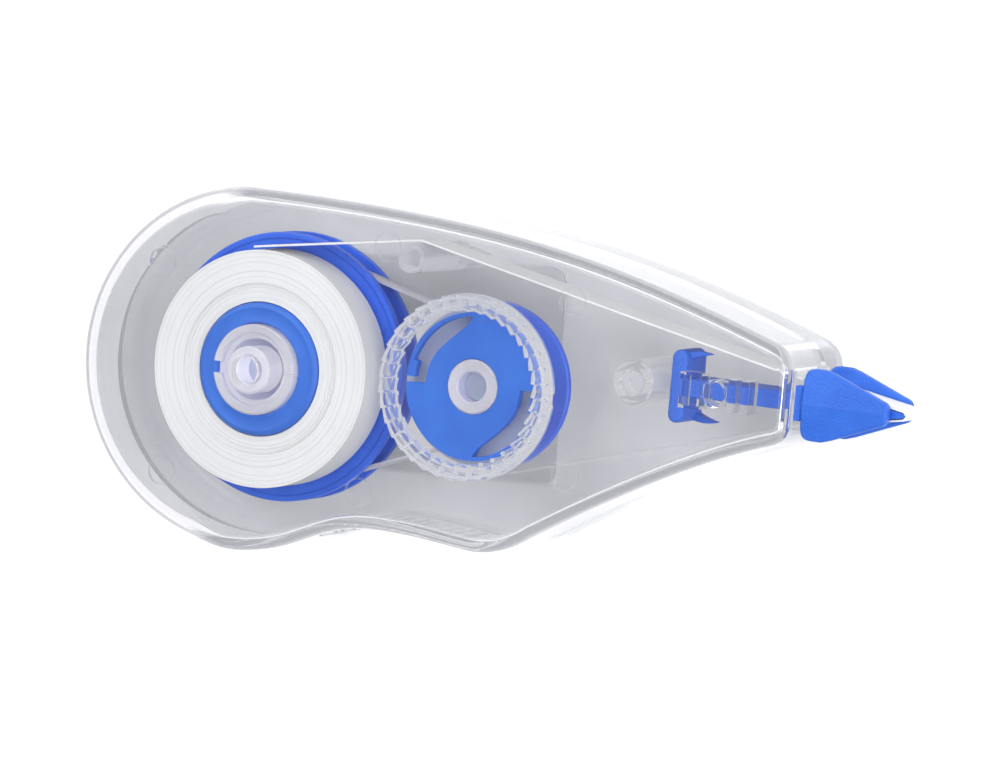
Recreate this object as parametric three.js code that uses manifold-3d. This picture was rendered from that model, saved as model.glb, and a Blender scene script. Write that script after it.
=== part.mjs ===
// Correction tape roller with a clear two-shell case, a belt-driven take-up spool and a swivelling tip.
// Millimetres. X runs from the tail to the tip, Y across the case, Z up through its thickness.
// The case lies flat on its rear face at z = 0, and the origin is on that face, under the supply spindle.
import * as THREE from 'three';
import { mergeVertices } from 'three/addons/utils/BufferGeometryUtils.js';
import Module from 'manifold-3d';

const wasm = await Module();
wasm.setup();

// Case
const REAR_SHELL_DEPTH = 5.8;
const WALL = 1.3;
const EDGE_ROUND = 1.5;
const TAIL_CENTRE_X = -1.2;
const TAIL_LENGTH_RADIUS = 20.4;
const TAIL_HEIGHT_RADIUS = 19.8;
const SCOOP_ANGLE = -65;
const NOSE_X = 63.9;
const NOSE_TOP_Y = 8.2;
const NOSE_BOTTOM_Y = 0.7;
const NOSE_CORNER = 2.4;
const BELLY_X = 30.5;
const BELLY_Y = -16.1;
const BELLY_LIFT = 2.45;
const GRIP_Y = -15.3;
const DOME_X = 1;
const DOME_MARGIN = 0.2;
const DOME_ROUND_WIDTH = 5.8;
const DOME_ROUND_HEIGHT = 4.2;
const PARTING_GAP = 0.1;

// Curves of the case outline: lengths of the curved stretches and how far their handles reach
const SCOOP_LENGTH = 10;
const SCOOP_LEAVE_X = 3.6;
const SCOOP_LEAVE_Y = 1.6;
const SCOOP_ARRIVE = 5.6;
const GRIP_LEAVE = 15;
const BELLY_FLAT = 2;
const BELLY_ARRIVE = 3;
const BELLY_SAG = 0.2;
const BELLY_CORNER_X = 1.5;
const BELLY_CORNER_Y = 0.1;
const BELLY_LENGTH = 5;
const UNDERSIDE_LEAVE = 20;
const UNDERSIDE_RISE = 3.1;
const UNDERSIDE_ARRIVE_X = 10;
const UNDERSIDE_ARRIVE_Y = 3.75;
const NOSE_UNDER_DROP = 1.3;
const NOSE_UNDER_CORNER = 0.6;
const NOSE_FLAT_INSET = 1;
const NOSE_OVER_RISE = 2.3;
const NOSE_OVER_CORNER = 1.5;
const TOP_LEAVE_X = 21.4;
const TOP_LEAVE_Y = 8.7;
const TOP_ARRIVE = 30;

// Label, in a shallow recess of the rear face
const LABEL_WIDTH = 27;
const LABEL_HEIGHT = 23.5;
const LABEL_THICKNESS = 0.15;
const LABEL_CORNER = 1.5;
const LABEL_CENTRE_X = 17.5;
const LABEL_CENTRE_Y = 1.8;
const LABEL_CLEARANCE = 0.15;
const LABEL_RECESS = 0.3;

// Reels
const REEL_GAP = 2.6;
const REAR_CLEARANCE = 0.9;
const FRONT_CLEARANCE = 0.45;
const SPINDLE_LINE_ANGLE = 2.7;
const TAPE_WIDTH = 5;
const ROLL_RADIUS = 13;
const CORE_RADIUS = 7.3;
const CORE_PROUD = 0.5;
const RUNNING_CLEARANCE = 0.1;
const STACK_GAP = 0.1;
const FLANGE_THICKNESS = 0.9;
const GROOVE_WIDTH = 2.2;
const SUPPLY_SPINDLE_RADIUS = 4.95;
const SUPPLY_SPINDLE_BORE = 3.4;
const SUPPLY_SPINDLE_PROUD = 1.5;
const SUPPLY_HUB_WALL = 0.7;
const SUPPLY_HUB_LENGTH = 2.8;
const SUPPLY_FLANGE_RADIUS = 14.8;
const SUPPLY_GROOVE_RADIUS = 12.6;
const PULLEY_WALL = 0.9;
const PULLEY_WEB = 1.3;
const CORE_CHAMFER = 0.3;
const PEG_RADIUS = 2.6;
const PEG_BORE = 1.6;
const PEG_LENGTH = 3.4;
const TAKE_UP_SPINDLE_RADIUS = 2.95;
const TAKE_UP_SPINDLE_BORE = 1.65;
const TAKE_UP_SPINDLE_DROP = 0.2;
const TAKE_UP_FLANGE_RADIUS = 9;
const TAKE_UP_REAR_FLANGE_RADIUS = 7.4;
const TAKE_UP_GROOVE_RADIUS = 4.9;
const TAKE_UP_HUB_WALL = 0.9;

// Slip clutch and ratchet spool
const TEETH = 36;
const TOOTH_TIP_RADIUS = 8.2;
const TOOTH_DEPTH = 0.4;
const TOOTH_SLOPE = 0.93;
const CROWN_WALL = 0.35;
const POCKET_WIDTH = 0.45;
const CROWN_STEP = 0.35;
const CROWN_HEIGHT = 2.1;
const POCKET_DEPTH = 1.5;
const RIB_WIDTH = 0.35;
const DRUM_WALL = 1;
const WEB_THICKNESS = 0.7;
const DISC_THICKNESS = 1;
const PAWL_CLEARANCE = 0.2;
const PAWL_DEPTH = 1;
const PAWL_ANGLE = 14;
const ARM_WIDTH = 0.45;
const ARM_ROOT_ANGLE = 95;
const ARM_TIP_ANGLE = 178;
const ARM_FREE_ANGLE = 5;
const PAWL_JOIN = 0.1;
const CRESCENT_DEPTH = 1.9;
const CRESCENT_START_DEPTH = 0.05;
const CRESCENT_FULL_SHARE = 0.55;
const LINER_WRAP = 0.3;

// Drive belt
const BELT_THICKNESS = 0.5;
const BELT_WIDTH = 1.8;
const BELT_CLEARANCE = 0.15;

// Tape path
const TAPE_THICKNESS = 0.2;
const TAPE_CLEARANCE = 0.15;
const GUIDE_X = 18.2;
const GUIDE_Y = 14.3;
const GUIDE_RADIUS = 1.6;
const FRONT_POST_TO_NOSE = 18.3;
const FRONT_POST_RADIUS = 2.4;
const FRONT_POST_BORE = 1.3;
const POST_GAP = 0.3;

// Swivelling tip
const TIP_Y = 4.3;
const TIP_GAP = 0.6;
const CHEEK_LENGTH = 9.6;
const BLADE_PROUD = 1.5;
const BLADE_BEVEL = 0.2;
const CHEEK_HEIGHT = 7.6;
const CHEEK_END_HEIGHT = 2;
const CHEEK_FLAT = 2.4;
const CHEEK_CORNER_X = 0.9;
const CHEEK_CORNER_Y = 1;
const CHEEK_THICKNESS = 1.1;
const CHEEK_CLEARANCE = 0.2;
const BLADE_ROOT = 4.4;
const BLADE_EDGE = 0.5;
const BASE_THICKNESS = 0.9;
const BASE_HEIGHT = 4.6;
const STEM_THICKNESS = 1.9;
const STEM_WIDTH = 5.2;
const TBAR_TO_NOSE = 15;
const TBAR_THICKNESS = 1.8;
const TBAR_HEIGHT = 7.8;
const TBAR_WIDTH = 5.2;
const ARM_LENGTH = 2.3;
const ARM_HALF_WIDTH = 0.8;
const ARM_THICKNESS = 0.7;
const SLOT_CLEARANCE = 0.6;
const SWIVEL_ROOM = 1.1;
const SLOT_REACH = 3;
const TIP_RIB_GAP = 0.35;
const TIP_RIB_HEIGHT = 3.8;
const FRAME_LENGTH = 2;
const CLIP_START = 2.3;
const CLIP_THICKNESS = 1.1;
const CLIP_PITCH = 1.7;
const COLLAR_TO_NOSE = 8.7;
const COLLAR_RADIUS = 1.45;
const COLLAR_BORE = 1.1;
const TIP_TAPE_START = 0.6;
const TIP_TAPE_GAP = 0.1;

// How far joined bodies run into each other, and how far cutting bodies reach past what they cut
const JOIN = 0.2;
const BASE_JOIN = 0.3;
const STEM_JOIN = 1;
const PAST = 1;
const FAR = 40;
const AHEAD = 20;

const radians = THREE.MathUtils.degToRad;

// A worked-out size in mm, rounded to a millionth.
function sized(value) {
  return Math.round(value * 1e6) / 1e6;
}

const PARTING_Z = REAR_SHELL_DEPTH;
const PULLEY_WIDTH = 2 * FLANGE_THICKNESS + GROOVE_WIDTH;
const TAPE_BOTTOM_Z = sized(WALL + REAR_CLEARANCE + PULLEY_WIDTH + 4 * STACK_GAP);
const TAPE_TOP_Z = TAPE_BOTTOM_Z + TAPE_WIDTH;
const TIP_Z = TAPE_BOTTOM_Z + TAPE_WIDTH / 2;
const FRONT_FLANGE_TOP = TAPE_BOTTOM_Z - 4 * STACK_GAP;
const GROOVE_TOP = FRONT_FLANGE_TOP - FLANGE_THICKNESS;
const GROOVE_BOTTOM = GROOVE_TOP - GROOVE_WIDTH;
const PULLEY_BOTTOM = GROOVE_BOTTOM - FLANGE_THICKNESS;
const CROWN_BOTTOM = TAPE_TOP_Z + 1.5 * STACK_GAP;
const CROWN_TOP = CROWN_BOTTOM + CROWN_HEIGHT;
const CASE_THICKNESS = sized(CROWN_TOP + FRONT_CLEARANCE + WALL);
const POCKET_INNER = TOOTH_TIP_RADIUS + TOOTH_DEPTH + CROWN_WALL;
const CROWN_RADIUS = sized(POCKET_INNER + POCKET_WIDTH + CROWN_WALL + CROWN_STEP);
const CROWN_INNER_STEP = CROWN_RADIUS - CROWN_STEP;
const POCKET_OUTER = CROWN_RADIUS - CROWN_STEP - CROWN_WALL;
const DRUM_RADIUS = sized(TOOTH_TIP_RADIUS + DRUM_WALL);
const SPINDLE_DISTANCE = sized(ROLL_RADIUS + CROWN_RADIUS + REEL_GAP);
const TAKE_UP_X = SPINDLE_DISTANCE * Math.cos(radians(SPINDLE_LINE_ANGLE));
const TAKE_UP_Y = SPINDLE_DISTANCE * Math.sin(radians(SPINDLE_LINE_ANGLE));
const SUPPLY_SPINDLE_TOP = sized(TAPE_TOP_Z + SUPPLY_SPINDLE_PROUD);
const TAKE_UP_SPINDLE_TOP = sized(TAPE_TOP_Z - TAKE_UP_SPINDLE_DROP);
const FRONT_POST_X = sized(NOSE_X - FRONT_POST_TO_NOSE);
const TBAR_X = sized(NOSE_X - TBAR_TO_NOSE);
const COLLAR_X = sized(NOSE_X - COLLAR_TO_NOSE);
const CHEEK_START_X = sized(NOSE_X + TIP_GAP);
const CHEEK_END_X = sized(CHEEK_START_X + CHEEK_LENGTH);
const TIP_END_X = sized(CHEEK_END_X + BLADE_PROUD);
const CHEEK_GAP = sized(TAPE_WIDTH + 2 * CHEEK_CLEARANCE);
const SLOT_WIDTH = sized(CHEEK_GAP + 2 * CHEEK_THICKNESS + 2 * SLOT_CLEARANCE);
const SLOT_HEIGHT = sized(BASE_HEIGHT + 2 * SWIVEL_ROOM);
const TAIL_REACH = DOME_X - TAIL_CENTRE_X;
const TAIL_SPAN = Math.max(TAIL_LENGTH_RADIUS + TAIL_REACH, Math.hypot(TAIL_HEIGHT_RADIUS, TAIL_REACH));
const DOME_FLAT_RADIUS = sized(TAIL_SPAN + DOME_MARGIN - DOME_ROUND_WIDTH);
const SUPPLY_BORE = SUPPLY_SPINDLE_RADIUS + RUNNING_CLEARANCE;
const TAKE_UP_BORE = TAKE_UP_SPINDLE_RADIUS + RUNNING_CLEARANCE;
const TAKE_UP_HUB = TAKE_UP_BORE + TAKE_UP_HUB_WALL;
const DISC_TOP = TAKE_UP_SPINDLE_TOP - 2 * STACK_GAP;
const DISC_BOTTOM = DISC_TOP - DISC_THICKNESS;

// ---------- solids ----------

function toSolid(geometry) {
  const plain = geometry.clone();
  plain.deleteAttribute('normal');
  plain.deleteAttribute('uv');
  const merged = mergeVertices(plain, 1e-4);
  const index = Array.from(merged.index.array);
  const triVerts = [];
  for (let i = 0; i < index.length; i += 3) {
    const [a, b, c] = index.slice(i, i + 3);
    if (a !== b && b !== c && c !== a) triVerts.push(a, b, c);
  }
  const mesh = new wasm.Mesh({
    numProp: 3,
    vertProperties: new Float32Array(merged.attributes.position.array),
    triVerts: new Uint32Array(triVerts),
  });
  return new wasm.Manifold(mesh);
}

function toMesh(name, solid, colour, roughness) {
  const data = solid.getMesh();
  const geometry = new THREE.BufferGeometry();
  geometry.setAttribute('position', new THREE.BufferAttribute(new Float32Array(data.vertProperties), 3));
  geometry.setIndex(new THREE.BufferAttribute(new Uint32Array(data.triVerts), 1));
  geometry.computeVertexNormals();
  const material = new THREE.MeshStandardMaterial({ color: colour, roughness });
  const mesh = new THREE.Mesh(geometry, material);
  mesh.name = name;
  return mesh;
}

function box(x0, x1, y0, y1, z0, z1) {
  const geometry = new THREE.BoxGeometry(x1 - x0, y1 - y0, z1 - z0);
  geometry.translate((x0 + x1) / 2, (y0 + y1) / 2, (z0 + z1) / 2);
  return toSolid(geometry);
}

// Revolves a profile of [radius, z] pairs about a vertical axis through (x, y).
function turned(profile, x, y, segments) {
  const points = profile.map(([r, z]) => new THREE.Vector2(r, z));
  const geometry = new THREE.LatheGeometry(points, segments);
  geometry.rotateX(Math.PI / 2);
  geometry.translate(x, y, 0);
  const solid = toSolid(geometry);
  return solid.volume() < 0 ? toSolid(flipped(geometry)) : solid;
}

function flipped(geometry) {
  const copy = geometry.clone();
  const index = copy.index.array;
  for (let i = 0; i < index.length; i += 3) {
    [index[i], index[i + 2]] = [index[i + 2], index[i]];
  }
  return copy;
}

function tube(outer, inner, z0, z1, x, y, segments = 48) {
  return turned([[inner, z0], [outer, z0], [outer, z1], [inner, z1], [inner, z0]], x, y, segments);
}

function rod(radius, z0, z1, x, y, segments = 32) {
  return turned([[0, z0], [radius, z0], [radius, z1], [0, z1]], x, y, segments);
}

// Raises a closed outline of [x, y] points from z0 to z1.
function prism(points, z0, z1) {
  const shape = new THREE.Shape(points.map(([x, y]) => new THREE.Vector2(x, y)));
  const geometry = new THREE.ExtrudeGeometry(shape, { depth: z1 - z0, bevelEnabled: false });
  geometry.translate(0, 0, z0);
  return toSolid(geometry);
}

function joined(solids) {
  return solids.reduce((total, next) => total.add(next));
}

// ---------- case ----------

// The side view of the case, anticlockwise from the start of the finger scoop.
function caseOutline() {
  const shape = new THREE.Shape();
  const start = radians(SCOOP_ANGLE);
  const startX = TAIL_CENTRE_X + TAIL_LENGTH_RADIUS * Math.cos(start);
  const startY = TAIL_HEIGHT_RADIUS * Math.sin(start);
  const gripX = startX + SCOOP_LENGTH;
  const bellyX = BELLY_X - BELLY_FLAT;
  const bellyEndX = BELLY_X + BELLY_LENGTH;
  const underX = NOSE_X - NOSE_CORNER;
  shape.moveTo(startX, startY);
  shape.bezierCurveTo(
    startX + SCOOP_LEAVE_X, startY + SCOOP_LEAVE_Y, startX + SCOOP_ARRIVE, GRIP_Y, gripX, GRIP_Y);
  shape.bezierCurveTo(startX + GRIP_LEAVE, GRIP_Y, bellyX - BELLY_ARRIVE, BELLY_Y + BELLY_SAG, bellyX, BELLY_Y);
  shape.quadraticCurveTo(BELLY_X + BELLY_CORNER_X, BELLY_Y - BELLY_CORNER_Y, bellyEndX, BELLY_Y + BELLY_LIFT);
  shape.bezierCurveTo(
    NOSE_X - UNDERSIDE_LEAVE, BELLY_Y + UNDERSIDE_RISE * BELLY_LIFT,
    NOSE_X - UNDERSIDE_ARRIVE_X, NOSE_BOTTOM_Y - UNDERSIDE_ARRIVE_Y,
    underX, NOSE_BOTTOM_Y - NOSE_UNDER_DROP);
  shape.quadraticCurveTo(NOSE_X, NOSE_BOTTOM_Y - NOSE_UNDER_CORNER, NOSE_X, NOSE_BOTTOM_Y + NOSE_FLAT_INSET);
  shape.lineTo(NOSE_X, NOSE_TOP_Y - NOSE_FLAT_INSET);
  shape.quadraticCurveTo(NOSE_X, NOSE_TOP_Y + NOSE_OVER_CORNER, underX, NOSE_TOP_Y + NOSE_OVER_RISE);
  shape.bezierCurveTo(
    NOSE_X - TOP_LEAVE_X, NOSE_TOP_Y + TOP_LEAVE_Y,
    sized(TAIL_CENTRE_X + TOP_ARRIVE), TAIL_HEIGHT_RADIUS, TAIL_CENTRE_X, TAIL_HEIGHT_RADIUS);
  shape.absellipse(TAIL_CENTRE_X, 0, TAIL_LENGTH_RADIUS, TAIL_HEIGHT_RADIUS, Math.PI / 2, start + 2 * Math.PI);
  return shape;
}

// The outline as points, moved inwards by a distance along the local normals.
function outlinePoints(inset) {
  const points = caseOutline().getPoints(11).filter((p, i, all) => i === 0 || p.distanceTo(all[i - 1]) > 1e-6);
  if (points[0].distanceTo(points[points.length - 1]) < 1e-6) points.pop();
  return points.map((point, i) => {
    const before = points[(i + points.length - 1) % points.length];
    const after = points[(i + 1) % points.length];
    const along = after.clone().sub(before).normalize();
    return [point.x - along.y * inset, point.y + along.x * inset];
  });
}

// Everything inside the rounded tail and the straight front part, shrunk by an inset.
function domeEnvelope(inset) {
  const profile = [[0, inset], [DOME_FLAT_RADIUS, inset]];
  const width = DOME_ROUND_WIDTH - inset;
  const height = DOME_ROUND_HEIGHT - inset;
  const steps = 5;
  for (let i = 1; i <= steps; i += 1) {
    const angle = (i / steps) * (Math.PI / 2);
    const drop = height * (1 - Math.cos(angle));
    profile.push([DOME_FLAT_RADIUS + width * Math.sin(angle), inset + drop]);
  }
  const upper = profile.map(([r, z]) => [r, CASE_THICKNESS - z]).reverse();
  const dome = turned([...profile, ...upper], DOME_X, 0, 72);
  const front = box(DOME_X, NOSE_X + AHEAD / 4, -FAR, FAR, inset, CASE_THICKNESS - inset);
  return dome.add(front);
}

function caseBody() {
  const shape = new THREE.Shape(outlinePoints(EDGE_ROUND).map(([x, y]) => new THREE.Vector2(x, y)));
  const geometry = new THREE.ExtrudeGeometry(shape, {
    depth: CASE_THICKNESS - 2 * EDGE_ROUND,
    bevelEnabled: true,
    bevelThickness: EDGE_ROUND,
    bevelSize: EDGE_ROUND,
    bevelSegments: 3,
  });
  geometry.translate(0, 0, EDGE_ROUND);
  return toSolid(geometry).intersect(domeEnvelope(0));
}

function caseCavity() {
  return prism(outlinePoints(WALL), WALL, CASE_THICKNESS - WALL).intersect(domeEnvelope(WALL));
}

function noseSlot() {
  const halfHeight = SLOT_HEIGHT / 2;
  const halfWidth = SLOT_WIDTH / 2;
  return box(
    NOSE_X - SLOT_REACH, NOSE_X + SLOT_REACH,
    TIP_Y - halfHeight, TIP_Y + halfHeight, TIP_Z - halfWidth, TIP_Z + halfWidth);
}

// Short walls that hold the stem of the tip between the two shells, as [start, end] along X.
function tipRibs() {
  const frame = TBAR_X + TBAR_THICKNESS + TIP_RIB_GAP;
  const firstClip = COLLAR_X + CLIP_START;
  const nextClip = firstClip + CLIP_PITCH;
  return [
    [frame, frame + FRAME_LENGTH],
    [firstClip, firstClip + CLIP_THICKNESS],
    [nextClip, nextClip + CLIP_THICKNESS],
  ];
}

function labelPlate(width, height, corner, z0, z1) {
  const shape = new THREE.Shape();
  const x = width / 2;
  const y = height / 2;
  shape.moveTo(-x + corner, -y);
  shape.lineTo(x - corner, -y);
  shape.absarc(x - corner, -y + corner, corner, -Math.PI / 2, 0);
  shape.absarc(x - corner, y - corner, corner, 0, Math.PI / 2);
  shape.absarc(-x + corner, y - corner, corner, Math.PI / 2, Math.PI);
  shape.absarc(-x + corner, -y + corner, corner, Math.PI, 1.5 * Math.PI);
  const geometry = new THREE.ExtrudeGeometry(shape, { depth: z1 - z0, bevelEnabled: false, curveSegments: 5 });
  geometry.rotateZ(radians(SPINDLE_LINE_ANGLE));
  geometry.translate(LABEL_CENTRE_X, LABEL_CENTRE_Y, z0);
  return toSolid(geometry);
}

function rearShell() {
  const floor = WALL / 2;
  const below = box(-FAR, NOSE_X + AHEAD, -FAR, FAR, -PAST, PARTING_Z - PARTING_GAP / 2);
  const spindle = tube(SUPPLY_SPINDLE_RADIUS, SUPPLY_SPINDLE_BORE, floor, SUPPLY_SPINDLE_TOP, 0, 0, 56);
  const takeUp = tube(
    TAKE_UP_SPINDLE_RADIUS, TAKE_UP_SPINDLE_BORE, floor, TAKE_UP_SPINDLE_TOP, TAKE_UP_X, TAKE_UP_Y);
  const postTop = CASE_THICKNESS - WALL - POST_GAP;
  const guide = rod(GUIDE_RADIUS, floor, postTop, GUIDE_X, GUIDE_Y);
  const frontPost = tube(FRONT_POST_RADIUS, FRONT_POST_BORE, floor, postTop, FRONT_POST_X, TIP_Y, 32);
  const ribTop = TIP_Z - STEM_WIDTH / 2 - TIP_RIB_GAP;
  const half = TIP_RIB_HEIGHT / 2;
  const ribs = tipRibs().map(([x0, x1]) => box(x0, x1, TIP_Y - half, TIP_Y + half, floor, ribTop));
  const recess = labelPlate(
    LABEL_WIDTH + 2 * LABEL_CLEARANCE, LABEL_HEIGHT + 2 * LABEL_CLEARANCE,
    LABEL_CORNER + LABEL_CLEARANCE, -PAST, LABEL_RECESS);
  const shell = caseBody().intersect(below).subtract(caseCavity()).subtract(noseSlot());
  return joined([shell, spindle, takeUp, guide, frontPost, ...ribs]).subtract(recess);
}

function frontShell() {
  const top = CASE_THICKNESS - WALL / 2;
  const above = box(-FAR, NOSE_X + AHEAD, -FAR, FAR, PARTING_Z + PARTING_GAP / 2, CASE_THICKNESS + PAST);
  const pegEnd = CASE_THICKNESS - WALL - PEG_LENGTH;
  const peg = rod(PEG_RADIUS, pegEnd, top, 0, 0, 40);
  const dimple = rod(PEG_BORE, CASE_THICKNESS - PEG_LENGTH, CASE_THICKNESS + PAST, 0, 0, 32);
  const ribBottom = TIP_Z + STEM_WIDTH / 2 + TIP_RIB_GAP;
  const half = TIP_RIB_HEIGHT / 2;
  const ribs = tipRibs().map(([x0, x1]) => box(x0, x1, TIP_Y - half, TIP_Y + half, ribBottom, top));
  const collar = tube(COLLAR_RADIUS, COLLAR_BORE, ribBottom, top, COLLAR_X, TIP_Y, 28);
  const pin = rod(FRONT_POST_BORE - RUNNING_CLEARANCE, pegEnd, top, FRONT_POST_X, TIP_Y, 24);
  const shell = caseBody().intersect(above).subtract(caseCavity()).subtract(noseSlot());
  return joined([shell, peg, pin, collar, ...ribs]).subtract(dimple);
}

// ---------- supply reel ----------

// Two flanges with the belt groove between them, on a long hub, and hollow behind.
function supplyPulley() {
  const hub = SUPPLY_BORE + SUPPLY_HUB_WALL;
  const hubTop = FRONT_FLANGE_TOP + SUPPLY_HUB_LENGTH;
  const webBottom = FRONT_FLANGE_TOP - PULLEY_WEB;
  const inner = SUPPLY_GROOVE_RADIUS - PULLEY_WALL;
  const profile = [
    [SUPPLY_BORE, PULLEY_BOTTOM], [hub, PULLEY_BOTTOM], [hub, webBottom], [inner, webBottom],
    [inner, PULLEY_BOTTOM], [SUPPLY_FLANGE_RADIUS, PULLEY_BOTTOM], [SUPPLY_FLANGE_RADIUS, GROOVE_BOTTOM],
    [SUPPLY_GROOVE_RADIUS, GROOVE_BOTTOM], [SUPPLY_GROOVE_RADIUS, GROOVE_TOP], [SUPPLY_FLANGE_RADIUS, GROOVE_TOP],
    [SUPPLY_FLANGE_RADIUS, FRONT_FLANGE_TOP], [hub, FRONT_FLANGE_TOP], [hub, hubTop], [SUPPLY_BORE, hubTop],
    [SUPPLY_BORE, PULLEY_BOTTOM],
  ];
  return turned(profile, 0, 0, 72);
}

function supplyCore() {
  const socket = SUPPLY_BORE + SUPPLY_HUB_WALL + STACK_GAP;
  const bottom = FRONT_FLANGE_TOP + STACK_GAP;
  const step = FRONT_FLANGE_TOP + SUPPLY_HUB_LENGTH + STACK_GAP;
  const top = TAPE_TOP_Z + CORE_PROUD;
  const profile = [
    [socket, bottom], [CORE_RADIUS, bottom], [CORE_RADIUS, top - CORE_CHAMFER],
    [CORE_RADIUS - CORE_CHAMFER, top],
    [SUPPLY_BORE, top], [SUPPLY_BORE, step], [socket, step], [socket, bottom],
  ];
  return turned(profile, 0, 0, 60);
}

function correctionTapeRoll() {
  return tube(ROLL_RADIUS, CORE_RADIUS + STACK_GAP, TAPE_BOTTOM_Z, TAPE_TOP_Z, 0, 0, 72);
}

// ---------- take-up reel ----------

function takeUpPulley() {
  const hubTop = DISC_BOTTOM - STACK_GAP;
  const inner = TAKE_UP_GROOVE_RADIUS;
  const profile = [
    [TAKE_UP_BORE, PULLEY_BOTTOM], [TAKE_UP_REAR_FLANGE_RADIUS, PULLEY_BOTTOM],
    [TAKE_UP_REAR_FLANGE_RADIUS, GROOVE_BOTTOM], [inner, GROOVE_BOTTOM], [inner, GROOVE_TOP],
    [TAKE_UP_FLANGE_RADIUS, GROOVE_TOP], [TAKE_UP_FLANGE_RADIUS, FRONT_FLANGE_TOP],
    [TAKE_UP_HUB, FRONT_FLANGE_TOP], [TAKE_UP_HUB, hubTop], [TAKE_UP_BORE, hubTop],
    [TAKE_UP_BORE, PULLEY_BOTTOM],
  ];
  return turned(profile, TAKE_UP_X, TAKE_UP_Y, 56);
}

// A closed strip about the take-up axis between two radii, each a function of the share from 0 to 1
// of the way from one angle to the other, in degrees.
function arcStrip(innerRadius, outerRadius, fromAngle, toAngle, steps) {
  const outer = [];
  const inner = [];
  for (let i = 0; i <= steps; i += 1) {
    const share = i / steps;
    const angle = radians(fromAngle + (toAngle - fromAngle) * share);
    const along = [Math.cos(angle), Math.sin(angle)];
    outer.push([TAKE_UP_X + outerRadius(share) * along[0], TAKE_UP_Y + outerRadius(share) * along[1]]);
    inner.push([TAKE_UP_X + innerRadius(share) * along[0], TAKE_UP_Y + innerRadius(share) * along[1]]);
  }
  return [...outer, ...inner.reverse()];
}

// The driven disc: two crescents cut just inside its rim leave two springy arms, half a turn apart,
// and each arm ends in a thicker pawl that points at the ratchet teeth.
function clutchDisc() {
  const rim = TOOTH_TIP_RADIUS - PAWL_CLEARANCE;
  const armInside = rim - ARM_WIDTH;
  const pawlInside = rim - PAWL_DEPTH;
  let disc = tube(rim, TAKE_UP_BORE, DISC_BOTTOM, DISC_TOP, TAKE_UP_X, TAKE_UP_Y, 64);
  const arms = [];
  for (const turn of [0, 180]) {
    const root = ARM_ROOT_ANGLE + turn;
    const tip = ARM_TIP_ANGLE + turn;
    const half = (share) => Math.PI * Math.min(share, CRESCENT_FULL_SHARE);
    const depth = (share) => CRESCENT_DEPTH * Math.sqrt(Math.sin(half(share)));
    const bite = (share) => armInside - CRESCENT_START_DEPTH - depth(share);
    const crescent = arcStrip(bite, () => armInside, root, tip, 14);
    const slit = arcStrip(() => bite(1), () => rim + PAST, tip, tip + ARM_FREE_ANGLE, 2);
    disc = disc.subtract(prism(crescent, DISC_BOTTOM - PAST, DISC_TOP + PAST));
    disc = disc.subtract(prism(slit, DISC_BOTTOM - PAST, DISC_TOP + PAST));
    const pawl = arcStrip(() => pawlInside, () => armInside + PAWL_JOIN, tip - PAWL_ANGLE, tip, 3);
    arms.push(prism(pawl, DISC_BOTTOM, DISC_TOP));
  }
  return joined([disc, ...arms]);
}

// A ring outline with one saw tooth per step: the radius jumps by the depth once in each pitch.
function sawRing(low, depth, count) {
  const points = [];
  for (let i = 0; i < count; i += 1) {
    const start = (i / count) * 2 * Math.PI;
    const end = ((i + TOOTH_SLOPE) / count) * 2 * Math.PI;
    points.push([TAKE_UP_X + low * Math.cos(start), TAKE_UP_Y + low * Math.sin(start)]);
    points.push([TAKE_UP_X + (low + depth) * Math.cos(end), TAKE_UP_Y + (low + depth) * Math.sin(end)]);
  }
  return points;
}

// The clear spool: a drum for the used liner under a toothed crown with open pockets.
function takeUpSpool() {
  const drumBottom = FRONT_FLANGE_TOP + 2 * STACK_GAP;
  const webTop = DISC_BOTTOM - 3 * STACK_GAP;
  const webBottom = webTop - WEB_THICKNESS;
  const drum = rod(DRUM_RADIUS, drumBottom, CROWN_BOTTOM + STEM_JOIN / 2, TAKE_UP_X, TAKE_UP_Y, 72);
  const crown = prism(sawRing(CROWN_INNER_STEP, CROWN_STEP, TEETH), CROWN_BOTTOM, CROWN_TOP);
  const teeth = prism(sawRing(TOOTH_TIP_RADIUS, TOOTH_DEPTH, TEETH), webTop, CROWN_TOP + PAST);
  const hollow = rod(TOOTH_TIP_RADIUS, drumBottom - PAST, webBottom, TAKE_UP_X, TAKE_UP_Y, 48);
  const bore = rod(TAKE_UP_HUB + RUNNING_CLEARANCE, drumBottom, CROWN_TOP, TAKE_UP_X, TAKE_UP_Y, 40);
  let spool = drum.add(crown).subtract(teeth).subtract(hollow).subtract(bore);
  const pitch = 360 / TEETH;
  const rib = THREE.MathUtils.radToDeg(RIB_WIDTH / POCKET_INNER);
  for (let i = 0; i < TEETH; i += 1) {
    const from = (i + TOOTH_SLOPE) * pitch + rib / 2;
    const pocket = arcStrip(() => POCKET_INNER, () => POCKET_OUTER, from, from + pitch - rib, 1);
    spool = spool.subtract(prism(pocket, CROWN_TOP - POCKET_DEPTH, CROWN_TOP + PAST));
  }
  return spool;
}

function usedLiner() {
  const inner = DRUM_RADIUS + STACK_GAP / 2;
  return tube(inner + LINER_WRAP, inner, TAPE_BOTTOM_Z, TAPE_TOP_Z, TAKE_UP_X, TAKE_UP_Y, 72);
}

// ---------- belt and tape ----------

// Angle between the spindle line and the normal of an open belt's straight run.
function runAngle(large, small, distance) {
  return Math.acos((large - small) / distance);
}

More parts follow.
